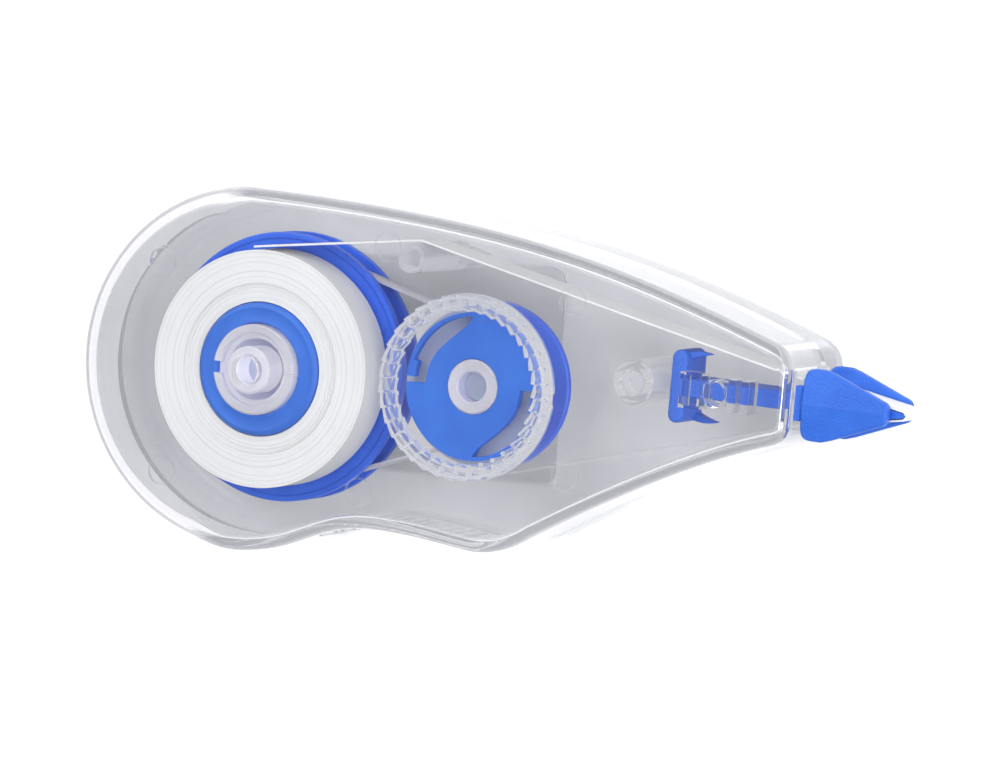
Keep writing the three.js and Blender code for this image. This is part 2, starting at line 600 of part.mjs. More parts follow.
// The loop around both grooves, anticlockwise, at a distance outside the grooves.
function beltLoop(offset) {
  const large = SUPPLY_GROOVE_RADIUS + offset;
  const small = TAKE_UP_GROOVE_RADIUS + offset;
  const line = radians(SPINDLE_LINE_ANGLE);
  const open = runAngle(large, small, SPINDLE_DISTANCE);
  const points = [];
  const aroundSupply = 40;
  for (let i = 0; i <= aroundSupply; i += 1) {
    const angle = line + open + (i / aroundSupply) * 2 * (Math.PI - open);
    points.push([large * Math.cos(angle), large * Math.sin(angle)]);
  }
  const aroundTakeUp = 16;
  for (let i = 0; i <= aroundTakeUp; i += 1) {
    const angle = line - open + (i / aroundTakeUp) * 2 * open;
    points.push([TAKE_UP_X + small * Math.cos(angle), TAKE_UP_Y + small * Math.sin(angle)]);
  }
  return points;
}

function driveBelt() {
  const z0 = (GROOVE_TOP + GROOVE_BOTTOM - BELT_WIDTH) / 2;
  const outer = prism(beltLoop(BELT_CLEARANCE + BELT_THICKNESS), z0, z0 + BELT_WIDTH);
  return outer.subtract(prism(beltLoop(BELT_CLEARANCE), z0 - PAST, z0 + BELT_WIDTH + PAST));
}

// A thin band on its edge that follows a line of points, with its thickness to the left of them.
function band(points, z0, z1) {
  const left = points.map(([x, y], i) => {
    const [ax, ay] = points[Math.max(i - 1, 0)];
    const [bx, by] = points[Math.min(i + 1, points.length - 1)];
    const length = Math.hypot(bx - ax, by - ay);
    return [x - ((by - ay) / length) * TAPE_THICKNESS, y + ((bx - ax) / length) * TAPE_THICKNESS];
  });
  return prism([...points, ...left.reverse()], z0, z1);
}

// The point on a circle where a straight run from a far point touches it, on the upper or lower side.
function touchPoint(cx, cy, radius, px, py, side) {
  const away = Math.hypot(px - cx, py - cy);
  const angle = Math.atan2(py - cy, px - cx) + side * Math.acos(radius / away);
  return [cx + radius * Math.cos(angle), cy + radius * Math.sin(angle)];
}

// Fresh tape: off the top of the roll, over the guide post and down to the nose slot.
function feedTape() {
  const guide = GUIDE_RADIUS + TAPE_CLEARANCE;
  const roll = ROLL_RADIUS + TAPE_CLEARANCE + STACK_GAP;
  const tilt = Math.atan2(GUIDE_Y, GUIDE_X) + Math.acos((roll - guide) / Math.hypot(GUIDE_X, GUIDE_Y));
  const exitX = CHEEK_START_X - 4 * TAPE_CLEARANCE;
  const exitY = TIP_Y + BLADE_ROOT / 2 + TAPE_CLEARANCE;
  const leave = touchPoint(GUIDE_X, GUIDE_Y, guide, exitX, exitY, 1);
  const leaveAngle = Math.atan2(leave[1] - GUIDE_Y, leave[0] - GUIDE_X);
  const points = [[roll * Math.cos(tilt), roll * Math.sin(tilt)]];
  const steps = 5;
  for (let i = 0; i <= steps; i += 1) {
    const angle = tilt + (leaveAngle - tilt) * (i / steps);
    points.push([GUIDE_X + guide * Math.cos(angle), GUIDE_Y + guide * Math.sin(angle)]);
  }
  points.push([exitX, exitY]);
  return band(points, TAPE_BOTTOM_Z, TAPE_TOP_Z);
}

// Used liner: from under the blade back to the lower side of the take-up drum.
function returnLiner() {
  const radius = DRUM_RADIUS + STACK_GAP / 2 + LINER_WRAP + TAPE_CLEARANCE;
  const startX = CHEEK_START_X - 4 * TAPE_CLEARANCE;
  const startY = TIP_Y - BLADE_ROOT / 2 - TAPE_CLEARANCE;
  const touch = touchPoint(TAKE_UP_X, TAKE_UP_Y, radius, startX, startY, -1);
  return band([[startX, startY], touch], TAPE_BOTTOM_Z, TAPE_TOP_Z);
}

// ---------- swivelling tip ----------

function cheekOutline() {
  const half = CHEEK_HEIGHT / 2;
  const endHalf = CHEEK_END_HEIGHT / 2;
  const flatX = CHEEK_START_X + CHEEK_FLAT;
  const cornerX = CHEEK_START_X + CHEEK_CORNER_X;
  return [
    [CHEEK_START_X, TIP_Y - half + CHEEK_CORNER_Y], [cornerX, TIP_Y - half], [flatX, TIP_Y - half],
    [CHEEK_END_X, TIP_Y - endHalf], [CHEEK_END_X, TIP_Y + endHalf], [flatX, TIP_Y + half],
    [cornerX, TIP_Y + half], [CHEEK_START_X, TIP_Y + half - CHEEK_CORNER_Y],
  ];
}

function bladeOutline() {
  const root = BLADE_ROOT / 2;
  const edge = BLADE_EDGE / 2;
  const x0 = CHEEK_START_X - JOIN;
  return [
    [x0, TIP_Y - root], [TIP_END_X - BLADE_BEVEL, TIP_Y - edge], [TIP_END_X, TIP_Y],
    [TIP_END_X - BLADE_BEVEL, TIP_Y + edge], [x0, TIP_Y + root],
  ];
}

function tipHead() {
  const inner = CHEEK_GAP / 2;
  const outer = inner + CHEEK_THICKNESS;
  const nearCheek = prism(cheekOutline(), TIP_Z + inner, TIP_Z + outer);
  const farCheek = prism(cheekOutline(), TIP_Z - outer, TIP_Z - inner);
  const blade = prism(bladeOutline(), TIP_Z - inner - JOIN, TIP_Z + inner + JOIN);
  const baseX = CHEEK_START_X - BASE_THICKNESS;
  const baseHalf = BASE_HEIGHT / 2;
  const base = box(
    baseX, CHEEK_START_X + BASE_JOIN, TIP_Y - baseHalf, TIP_Y + baseHalf, TIP_Z - outer, TIP_Z + outer);
  const window = box(
    baseX - PAST, CHEEK_START_X + BASE_JOIN, TIP_Y - baseHalf - PAST, TIP_Y + baseHalf + PAST,
    TIP_Z - inner, TIP_Z + inner);
  const stemHalf = STEM_THICKNESS / 2;
  const stemWide = STEM_WIDTH / 2;
  const stem = box(
    TBAR_X + STEM_JOIN / 2, CHEEK_START_X + STEM_JOIN, TIP_Y - stemHalf, TIP_Y + stemHalf,
    TIP_Z - stemWide, TIP_Z + stemWide);
  const barHalf = TBAR_HEIGHT / 2;
  const barWide = TBAR_WIDTH / 2;
  const barEnd = TBAR_X + TBAR_THICKNESS;
  const bar = box(TBAR_X, barEnd, TIP_Y - barHalf, TIP_Y + barHalf, TIP_Z - barWide, TIP_Z + barWide);
  const arms = [-1, 1].map((side) => {
    const y = TIP_Y + side * (barHalf - ARM_THICKNESS / 2);
    const thickHalf = ARM_THICKNESS / 2;
    return box(
      barEnd - BASE_JOIN, barEnd + ARM_LENGTH, y - thickHalf, y + thickHalf,
      TIP_Z - ARM_HALF_WIDTH, TIP_Z + ARM_HALF_WIDTH);
  });
  const crossBar = base.subtract(window);
  return joined([nearCheek, farCheek, blade, crossBar, stem, bar, ...arms]);
}

// The stretch of tape that is folded over the blade and swivels with it.
function tipTape() {
  const root = BLADE_ROOT / 2;
  const edge = BLADE_EDGE / 2;
  const start = CHEEK_START_X + TIP_TAPE_START;
  const slope = (root - edge) / (TIP_END_X - CHEEK_START_X);
  const rootY = root - slope * TIP_TAPE_START;
  const bevelX = TIP_END_X - BLADE_BEVEL;
  const outline = (offset) => [
    [start, TIP_Y - rootY - offset], [bevelX, TIP_Y - edge - offset], [TIP_END_X + offset, TIP_Y],
    [bevelX, TIP_Y + edge + offset], [start, TIP_Y + rootY + offset],
  ];
  const folded = prism(outline(TIP_TAPE_GAP + TAPE_THICKNESS), TAPE_BOTTOM_Z, TAPE_TOP_Z);
  return folded.subtract(prism(outline(TIP_TAPE_GAP), TAPE_BOTTOM_Z - PAST, TAPE_TOP_Z + PAST));
}

const CLEAR = 0xd9dae6;
const BLUE = 0x2f66dc;
const DEEP_BLUE = 0x2456d8;
const TAPE_WHITE = 0xe9e9e4;
const LINER = 0xf1f1f4;
const LABEL_WHITE = 0xf2f2f6;
const BELT_WHITE = 0xe4e4ea;

const group = new THREE.Group();
group.add(toMesh('rear_shell', rearShell(), CLEAR, 0.08));
group.add(toMesh('front_shell', frontShell(), CLEAR, 0.08));
group.add(toMesh(
  'label', labelPlate(LABEL_WIDTH, LABEL_HEIGHT, LABEL_CORNER, LABEL_RECESS - LABEL_THICKNESS, LABEL_RECESS),
  LABEL_WHITE, 0.6));
group.add(toMesh('supply_pulley', supplyPulley(), DEEP_BLUE, 0.35));
group.add(toMesh('supply_core', supplyCore(), BLUE, 0.4));
group.add(toMesh('correction_tape_roll', correctionTapeRoll(), TAPE_WHITE, 0.7));
group.add(toMesh('take_up_pulley', takeUpPulley(), DEEP_BLUE, 0.35));
group.add(toMesh('clutch_disc', clutchDisc(), BLUE, 0.4));
group.add(toMesh('take_up_spool', takeUpSpool(), CLEAR, 0.1));
group.add(toMesh('used_liner_winding', usedLiner(), LINER, 0.5));
group.add(toMesh('drive_belt', driveBelt(), BELT_WHITE, 0.5));
group.add(toMesh('feed_tape', feedTape(), TAPE_WHITE, 0.6));
group.add(toMesh('return_liner', returnLiner(), LINER, 0.5));
group.add(toMesh('tip_head', tipHead(), BLUE, 0.55));
group.add(toMesh('tip_tape', tipTape(), TAPE_WHITE, 0.6));

export default group;
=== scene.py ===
import math
import random

import bmesh
import bpy
from mathutils import Matrix, Vector


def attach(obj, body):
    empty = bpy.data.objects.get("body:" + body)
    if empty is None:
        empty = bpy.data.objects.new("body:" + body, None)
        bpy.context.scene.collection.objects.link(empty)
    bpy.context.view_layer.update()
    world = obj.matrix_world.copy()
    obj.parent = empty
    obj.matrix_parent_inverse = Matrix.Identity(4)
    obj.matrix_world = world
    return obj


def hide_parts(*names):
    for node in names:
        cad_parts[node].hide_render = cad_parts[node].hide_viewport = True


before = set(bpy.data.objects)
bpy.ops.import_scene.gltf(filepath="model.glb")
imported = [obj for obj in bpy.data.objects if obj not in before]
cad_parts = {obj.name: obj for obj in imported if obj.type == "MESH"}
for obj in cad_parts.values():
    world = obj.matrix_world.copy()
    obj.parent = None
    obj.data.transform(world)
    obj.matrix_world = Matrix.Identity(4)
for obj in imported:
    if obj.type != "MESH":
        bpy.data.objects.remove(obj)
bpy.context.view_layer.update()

# ---------------------------------------------------------------------------------------------
# REAR SHELL. One clear injection moulding, 1.3 mm walls, open towards the front shell.
# Both reel spindles, the tape guide post and the front post stand on its floor.
# ---------------------------------------------------------------------------------------------
MM = 0.001
CASE_THICKNESS = 15.6
PARTING_Z = 5.8
PARTING_GAP = 0.1
WALL = 1.3
EDGE_ROUND = 1.5
LEAST_ROUND = 0.35
TAIL_CENTRE_X = -1.2
TAIL_LENGTH_RADIUS = 20.4
TAIL_HEIGHT_RADIUS = 19.8
SCOOP_ANGLE = -65
NOSE_X = 63.9
NOSE_TOP_Y = 8.2
NOSE_BOTTOM_Y = 0.7
NOSE_CORNER = 2.4
BELLY_X = 30.5
BELLY_Y = -16.1
BELLY_LIFT = 2.45
GRIP_Y = -15.3
DOME_X = 1
DOME_FLAT_RADIUS = 17
DOME_ROUND_HEIGHT = 4.2
TAIL_FADE = 9
SPINDLE_DISTANCE = 25.7
SPINDLE_LINE = math.radians(2.7)
TAKE_UP = (SPINDLE_DISTANCE * math.cos(SPINDLE_LINE), SPINDLE_DISTANCE * math.sin(SPINDLE_LINE))
GUIDE_POST = (18.2, 14.3)
FRONT_POST_X = 45.6
TIP_Y = 4.3
TIP_Z = 9.1


def curve_points(start, handle_1, handle_2, end, steps):
    """Points of a cubic curve after its start, up to and with its end."""
    points = []
    for i in range(1, steps + 1):
        t = i / steps
        a, b, c, d = (1 - t) ** 3, 3 * t * (1 - t) ** 2, 3 * t * t * (1 - t), t ** 3
        points.append(tuple(a * p + b * q + c * r + d * s
                            for p, q, r, s in zip(start, handle_1, handle_2, end)))
    return points


def bent_corner(start, corner, end, steps):
    """Points of a quadratic curve that rounds a corner."""
    handle_1 = tuple(p + (c - p) * 2 / 3 for p, c in zip(start, corner))
    handle_2 = tuple(p + (c - p) * 2 / 3 for p, c in zip(end, corner))
    return curve_points(start, handle_1, handle_2, end, steps)


def case_outline():
    """The side view of the case in mm, anticlockwise from the finger scoop."""
    start_angle = math.radians(SCOOP_ANGLE)
    scoop = (TAIL_CENTRE_X + TAIL_LENGTH_RADIUS * math.cos(start_angle),
             TAIL_HEIGHT_RADIUS * math.sin(start_angle))
    grip = (scoop[0] + 10, GRIP_Y)
    belly = (BELLY_X - 2, BELLY_Y)
    belly_end = (BELLY_X + 5, BELLY_Y + BELLY_LIFT)
    nose_under = (NOSE_X - NOSE_CORNER, NOSE_BOTTOM_Y - 1.3)
    nose_low = (NOSE_X, NOSE_BOTTOM_Y + 1)
    nose_high = (NOSE_X, NOSE_TOP_Y - 1)
    nose_over = (NOSE_X - NOSE_CORNER, NOSE_TOP_Y + 2.3)
    tail_top = (TAIL_CENTRE_X, TAIL_HEIGHT_RADIUS)
    points = [scoop]
    points += curve_points(
        scoop, (scoop[0] + 3.6, scoop[1] + 1.6), (scoop[0] + 5.6, GRIP_Y), grip, 14)
    points += curve_points(
        grip, (scoop[0] + 15, GRIP_Y), (BELLY_X - 5, BELLY_Y + 0.2), belly, 14)
    points += bent_corner(belly, (BELLY_X + 1.5, BELLY_Y - 0.1), belly_end, 12)
    points += curve_points(
        belly_end, (NOSE_X - 20, BELLY_Y + 3.1 * BELLY_LIFT), (NOSE_X - 10, NOSE_BOTTOM_Y - 3.75),
        nose_under, 30)
    points += bent_corner(nose_under, (NOSE_X, NOSE_BOTTOM_Y - 0.6), nose_low, 8)
    points.append(nose_high)
    points += bent_corner(nose_high, (NOSE_X, NOSE_TOP_Y + 1.5), nose_over, 8)
    points += curve_points(
        nose_over, (NOSE_X - 21.4, NOSE_TOP_Y + 8.7), (28.8, TAIL_HEIGHT_RADIUS), tail_top, 44)
    steps = 88
    for i in range(1, steps):
        angle = math.pi / 2 + (start_angle + 1.5 * math.pi) * i / steps
        points.append((TAIL_CENTRE_X + TAIL_LENGTH_RADIUS * math.cos(angle),
                       TAIL_HEIGHT_RADIUS * math.sin(angle)))
    return points


def moved_in(points, insets):
    """An outline moved inwards by its own distance at each point."""
    moved = []
    for i, (x, y) in enumerate(points):
        before, after = points[i - 1], points[(i + 1) % len(points)]
        along = Vector((after[0] - before[0], after[1] - before[1])).normalized()
        moved.append((x - along.y * insets[i], y + along.x * insets[i]))
    return moved


def skin_rings(outline, wall, thickness_from_face):
    """Rings of (x, y, depth below the face) from the parting line, over the edge, to the flat face."""
    insets, drops = [], []
    for x, y in outline:
        reach = math.hypot(x - DOME_X, y) - DOME_FLAT_RADIUS
        share = min(max((DOME_X - x) / TAIL_FADE, 0), 1)
        share = share ** 3 * (share * (6 * share - 15) + 10)
        width = EDGE_ROUND + (reach - EDGE_ROUND) * share - wall
        height = EDGE_ROUND + (DOME_ROUND_HEIGHT - EDGE_ROUND) * share - wall
        insets.append(max(width, LEAST_ROUND))
        drops.append(max(height, LEAST_ROUND))
    straight = moved_in(outline, [wall] * len(outline))
    rings = [[(x, y, thickness_from_face) for x, y in straight]]
    steps = 7
    for k in range(steps + 1):
        angle = math.pi / 2 * k / steps
        ring = moved_in(outline, [wall + w * (1 - math.cos(angle)) for w in insets])
        rings.append([(x, y, d * (1 - math.sin(angle))) for (x, y), d in zip(ring, drops)])
    return rings


def shell_body(name, face_z, parting_z):
    """The open shell: outer skin, inner skin and the flat rim between them."""
    outline = case_outline()
    sign = 1 if face_z > parting_z else -1
    mesh = bmesh.new()

    def add_skin(wall):
        flat_z = face_z - sign * wall
        rings = skin_rings(outline, wall, abs(flat_z - parting_z))
        rows = [[mesh.verts.new((x * MM, y * MM, (flat_z - sign * d) * MM)) for x, y, d in ring]
                for ring in rings]
        for low, high in zip(rows, rows[1:]):
            for i in range(len(low)):
                j = (i + 1) % len(low)
                mesh.faces.new((low[i], low[j], high[j], high[i]))
        mesh.faces.new(rows[-1])
        return rows[0]

    outer_rim = add_skin(0)
    inner_rim = add_skin(WALL)
    for i in range(len(outer_rim)):
        j = (i + 1) % len(outer_rim)
        mesh.faces.new((outer_rim[i], inner_rim[i], inner_rim[j], outer_rim[j]))
    bmesh.ops.recalc_face_normals(mesh, faces=mesh.faces)
    return solid_from(mesh, name)


def solid_from(mesh, name):
    """Turns a bmesh into a named object in the scene."""
    data = bpy.data.meshes.new(name)
    mesh.to_mesh(data)
    mesh.free()
    made = bpy.data.objects.new(name, data)
    bpy.context.scene.collection.objects.link(made)
    return made


def add_turned(mesh, profile, centre=(0, 0), segments=96, closed=True):
    """Adds a ring or a solid turned about a vertical axis, from (radius, z) pairs in mm."""
    rows = []
    for radius, z in profile:
        if radius < 1e-6:
            rows.append([mesh.verts.new((centre[0] * MM, centre[1] * MM, z * MM))])
            continue
        rows.append([mesh.verts.new(((centre[0] + radius * math.cos(a)) * MM,
                                     (centre[1] + radius * math.sin(a)) * MM, z * MM))
                     for a in (2 * math.pi * i / segments for i in range(segments))])
    pairs = list(zip(rows, rows[1:]))
    if closed:
        pairs.append((rows[-1], rows[0]))
    faces = []
    for low, high in pairs:
        for i in range(segments):
            j = (i + 1) % segments
            corners = [low[i % len(low)], low[j % len(low)], high[j % len(high)], high[i % len(high)]]
            corners = [c for k, c in enumerate(corners) if c not in corners[:k]]
            if len(corners) > 2:
                faces.append(mesh.faces.new(corners))
    bmesh.ops.recalc_face_normals(mesh, faces=faces)


def add_tube(mesh, outer, inner, z0, z1, centre=(0, 0), segments=96, edge=0.12):
    """Adds an upright tube with slightly broken edges."""
    add_turned(mesh, [(inner + edge, z0), (outer - edge, z0), (outer, z0 + edge), (outer, z1 - edge),
                      (outer - edge, z1), (inner + edge, z1), (inner, z1 - edge), (inner, z0 + edge)],
               centre, segments)


def add_rod(mesh, radius, z0, z1, centre=(0, 0), segments=64, edge=0.12):
    """Adds an upright rod with slightly broken edges."""
    add_turned(mesh, [(0, z0), (radius - edge, z0), (radius, z0 + edge), (radius, z1 - edge),
                      (radius - edge, z1), (0, z1)], centre, segments, closed=False)


def add_prism(mesh, points, z0, z1):
    """Adds a straight-sided solid on a closed outline of (x, y) points in mm."""
    low = [mesh.verts.new((x * MM, y * MM, z0 * MM)) for x, y in points]
    high = [mesh.verts.new((x * MM, y * MM, z1 * MM)) for x, y in points]
    faces = [mesh.faces.new(low), mesh.faces.new(high)]
    for i in range(len(points)):
        j = (i + 1) % len(points)
        faces.append(mesh.faces.new((low[i], low[j], high[j], high[i])))
    bmesh.ops.recalc_face_normals(mesh, faces=faces)


def add_block(mesh, x0, x1, y0, y1, z0, z1):
    add_prism(mesh, [(x0, y0), (x1, y0), (x1, y1), (x0, y1)], z0, z1)


def carve(body, operation, tool_mesh):
    """Joins a tool to a body or cuts it away, for good."""
    tool = solid_from(tool_mesh, body.name + "_tool")
    step = body.modifiers.new(operation.lower(), "BOOLEAN")
    step.operation = operation
    step.solver = "EXACT"
    step.use_self = True
    step.object = tool
    made = bpy.data.meshes.new_from_object(body.evaluated_get(bpy.context.evaluated_depsgraph_get()))
    body.modifiers.remove(step)
    body.data = made
    bpy.data.objects.remove(tool)


def smooth_shaded(body, angle=32, weighted=True):
    """Smooth shading that keeps real edges sharp and flat faces flat."""
    for face in body.data.polygons:
        face.use_smooth = True
    body.data.set_sharp_from_angle(angle=math.radians(angle))
    if weighted:
        normals = body.modifiers.new("face weights", "WEIGHTED_NORMAL")
        normals.keep_sharp = True
    return body


def noise_group():
    """Shader group: fine grain of a moulded surface, as a height and a patchy mask."""
    group = bpy.data.node_groups.new("moulded grain", "ShaderNodeTree")
    for label, default in (("Grain Scale", 900.0), ("Patch Scale", 90.0)):
        socket = group.interface.new_socket(label, in_out="INPUT", socket_type="NodeSocketFloat")
        socket.default_value = default
    group.interface.new_socket("Height", in_out="OUTPUT", socket_type="NodeSocketFloat")
    group.interface.new_socket("Patches", in_out="OUTPUT", socket_type="NodeSocketFloat")
    nodes, links = group.nodes, group.links
    given, out = nodes.new("NodeGroupInput"), nodes.new("NodeGroupOutput")
    place = nodes.new("ShaderNodeTexCoord")
    grain, patches = nodes.new("ShaderNodeTexNoise"), nodes.new("ShaderNodeTexNoise")
    grain.inputs["Detail"].default_value = 3
    patches.inputs["Detail"].default_value = 4
    patches.inputs["Roughness"].default_value = 0.6
    links.new(place.outputs["Object"], grain.inputs["Vector"])
    links.new(place.outputs["Object"], patches.inputs["Vector"])
    links.new(given.outputs["Grain Scale"], grain.inputs["Scale"])
    links.new(given.outputs["Patch Scale"], patches.inputs["Scale"])
    links.new(grain.outputs["Fac"], out.inputs["Height"])
    links.new(patches.outputs["Fac"], out.inputs["Patches"])
    return group


moulded_grain = noise_group()


def new_material(name):
    made = bpy.data.materials.new(name)
    made.use_nodes = True
    nodes = made.node_tree.nodes
    return made, nodes, made.node_tree.links, nodes["Principled BSDF"]


def grain_node(nodes, grain_scale, patch_scale):
    grain = nodes.new("ShaderNodeGroup")
    grain.node_tree = moulded_grain
    grain.inputs["Grain Scale"].default_value = grain_scale
    grain.inputs["Patch Scale"].default_value = patch_scale
    return grain


def bumped(nodes, links, shader, height, strength, distance):
    bump = nodes.new("ShaderNodeBump")
    bump.inputs["Strength"].default_value = strength
    bump.inputs["Distance"].default_value = distance
    links.new(height, bump.inputs["Height"])
    links.new(bump.outputs["Normal"], shader.inputs["Normal"])
    return bump


def ramp(nodes, links, source, stops):
    """A colour ramp from (place, colour) stops, fed by a value."""
    made = nodes.new("ShaderNodeValToRGB")
    elements = made.color_ramp.elements
    while len(elements) < len(stops):
        elements.new(0.5)
    for element, (place, colour) in zip(elements, stops):
        element.position = place
        element.color = (*colour, 1) if len(colour) == 3 else colour
    links.new(source, made.inputs["Fac"])
    return made.outputs["Color"]


MOST_SKINS = 5.5
SPENT_LIGHT = 0.8
FLOW_SCALE, FLOW_PATCHES, FLOW_DEPTH = 60, 45, 0.0004


def clear_plastic(name, tint_low, tint_high, roughness, lamp_tint, waviness, index=1.5, clearness=1):
    """Clear styrene: smooth glass-like shader with faint flow marks. Lamps shine through it, and light
    that has passed more skins than MOST_SKINS ends on a painted soft grey glow, painted light in place of
    what lies further in."""
    made, nodes, links, shader = new_material(name)
    grain = grain_node(nodes, FLOW_SCALE, FLOW_PATCHES)
    links.new(ramp(nodes, links, grain.outputs["Patches"], [(0.3, tint_low), (0.7, tint_high)]),
              shader.inputs["Base Color"])
    shader.inputs["Roughness"].default_value = roughness
    shader.inputs["IOR"].default_value = index
    shader.inputs["Transmission Weight"].default_value = clearness
    bumped(nodes, links, shader, grain.outputs["Height"], waviness, FLOW_DEPTH)
    path, lamp = nodes.new("ShaderNodeLightPath"), nodes.new("ShaderNodeBsdfTransparent")
    lamp.inputs["Color"].default_value = (*lamp_tint, 1)
    # Painted light: rays past MOST_SKINS end on this soft grey glow instead of going on through the plastic
    deep_glow, deep = nodes.new("ShaderNodeEmission"), nodes.new("ShaderNodeMath")
    deep_glow.inputs["Color"].default_value = (0.95, 0.96, 1, 1)
    deep_glow.inputs["Strength"].default_value = SPENT_LIGHT
    deep.operation = "GREATER_THAN"
    deep.inputs[1].default_value = MOST_SKINS
    links.new(path.outputs["Ray Depth"], deep.inputs[0])
    deep_glow_mix, mix = nodes.new("ShaderNodeMixShader"), nodes.new("ShaderNodeMixShader")
    links.new(deep.outputs[0], deep_glow_mix.inputs["Fac"])
    links.new(shader.outputs["BSDF"], deep_glow_mix.inputs[1])
    links.new(deep_glow.outputs["Emission"], deep_glow_mix.inputs[2])
    links.new(path.outputs["Is Shadow Ray"], mix.inputs["Fac"])
    links.new(deep_glow_mix.outputs["Shader"], mix.inputs[1])
    links.new(lamp.outputs["BSDF"], mix.inputs[2])
    links.new(mix.outputs["Shader"], nodes["Material Output"].inputs["Surface"])
    return made


case_plastic = clear_plastic("clear_case_plastic", (0.70, 0.702, 0.718), (0.77, 0.772, 0.785), 0.03,
                             (0.985, 0.985, 0.99), 0.05, 1.42)
# Painted shade: the rear shell is the same plastic as the front shell, tinted darker to stand in for the
# shadow under the case
rear_painted_shade_plastic = clear_plastic("clear_rear_painted_shade_plastic", (0.55, 0.553, 0.572), (0.62, 0.622, 0.638), 0.03,
                             (0.985, 0.985, 0.99), 0.05, 1.42)
post_plastic = clear_plastic("milky_post_plastic", (0.80, 0.79, 0.84), (0.90, 0.89, 0.93), 0.08,
                             (0.98, 0.98, 0.99), 0.15, 1.35, 0.55)
pin_plastic = clear_plastic("clear_pin_plastic", (0.86, 0.86, 0.885), (0.93, 0.93, 0.945), 0.05,
                            (0.98, 0.98, 0.99), 0.15, 1.3, 0.94)


def finish_piece(piece, material, body, slot, *nodes):
    """Gives a piece its material, its CAD body and the CAD nodes it stands for. The slot is not used."""
    piece.data.materials.clear()
    piece.data.materials.append(material)
    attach(piece, body)
    if nodes:
        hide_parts(*nodes)
    return piece


rear_shell = shell_body("rear_shell_clear", 0, PARTING_Z - PARTING_GAP / 2)
FLOOR_Z = WALL + 0.05
POST_TOP = CASE_THICKNESS - WALL - 0.3
SPINDLE_RADIUS, SPINDLE_BORE, SPINDLE_TOP = 4.95, 3.4, 13.1
SPINDLE_RIM_BORE, SPINDLE_LEDGE_Z = 3.95, 12.3
SPINDLE_BREAK, RIM_BREAK = 0.2, 0.15
SPINDLE_TAB_SLOT = (-5.4, -3.2, -0.85, 0.45, 11.4, 13.6)
SPINDLE_FINE_SLOT = (3.2, 5.4, -0.05, 0.05, 12.0, 13.6)
TAKE_UP_SPINDLE_RADIUS, TAKE_UP_SPINDLE_BORE, TAKE_UP_SPINDLE_TOP = 2.95, 1.65, 11.4
posts = bmesh.new()
add_turned(posts, [(SPINDLE_BORE, FLOOR_Z), (SPINDLE_RADIUS - SPINDLE_BREAK, FLOOR_Z),
                   (SPINDLE_RADIUS, FLOOR_Z + SPINDLE_BREAK), (SPINDLE_RADIUS, SPINDLE_TOP - SPINDLE_BREAK),
                   (SPINDLE_RADIUS - SPINDLE_BREAK, SPINDLE_TOP),
                   (SPINDLE_RIM_BORE + RIM_BREAK, SPINDLE_TOP), (SPINDLE_RIM_BORE, SPINDLE_TOP - RIM_BREAK),
                   (SPINDLE_RIM_BORE, SPINDLE_LEDGE_Z), (SPINDLE_BORE, SPINDLE_LEDGE_Z)])
add_tube(posts, TAKE_UP_SPINDLE_RADIUS, TAKE_UP_SPINDLE_BORE, FLOOR_Z, TAKE_UP_SPINDLE_TOP, TAKE_UP,
         edge=0.2)
spindles = solid_from(posts, "rear_spindles_clear")
slots = bmesh.new()
add_block(slots, *SPINDLE_TAB_SLOT)
add_block(slots, *SPINDLE_FINE_SLOT)
carve(spindles, "DIFFERENCE", slots)
smooth_shaded(spindles)
finish_piece(spindles, post_plastic, "case", "clear_case")

GUIDE_POST_RADIUS, FRONT_POST_RADIUS, FRONT_POST_BORE = 1.6, 2.4, 1.3
GUIDE_FOOT = ((1.2, -1.25), (3.4, -0.9), (3.7, -0.4), (3.6, 0.5), (1.4, 1.1))
GUIDE_FOOT_TOP = 4.6
posts = bmesh.new()
add_rod(posts, GUIDE_POST_RADIUS, FLOOR_Z, POST_TOP, GUIDE_POST, edge=0.3)
add_prism(posts, [(GUIDE_POST[0] + x, GUIDE_POST[1] + y) for x, y in GUIDE_FOOT], FLOOR_Z, GUIDE_FOOT_TOP)
add_tube(posts, FRONT_POST_RADIUS, FRONT_POST_BORE, FLOOR_Z, POST_TOP, (FRONT_POST_X, TIP_Y), edge=0.2)
rear_posts = smooth_shaded(solid_from(posts, "rear_posts_clear"))
finish_piece(rear_posts, pin_plastic, "case", "clear_case")

# The mouth of the neck, cut alike in both shells, and the recess for the label
NOSE_MOUTH = (NOSE_X - 3, NOSE_X + 3, TIP_Y - 3.4, TIP_Y + 3.4, TIP_Z - 4.4, TIP_Z + 4.4)
RECESS_PLACE = (17.5, 1.8)
RECESS_LENGTH, RECESS_HEIGHT, RECESS_DEPTH = 27.3, 23.8, 0.36
tool = bmesh.new()
add_block(tool, *NOSE_MOUTH)
carve(rear_shell, "DIFFERENCE", tool)
tool = bmesh.new()
turn_x, turn_y = math.cos(SPINDLE_LINE), math.sin(SPINDLE_LINE)
corners = [(u * RECESS_LENGTH / 2, v * RECESS_HEIGHT / 2) for u, v in ((-1, -1), (1, -1), (1, 1), (-1, 1))]
add_prism(tool, [(RECESS_PLACE[0] + u * turn_x - v * turn_y, RECESS_PLACE[1] + u * turn_y + v * turn_x)
                 for u, v in corners], -1, RECESS_DEPTH)
carve(rear_shell, "DIFFERENCE", tool)
smooth_shaded(rear_shell)
finish_piece(rear_shell, rear_painted_shade_plastic, "case", "clear_case", "rear_shell")

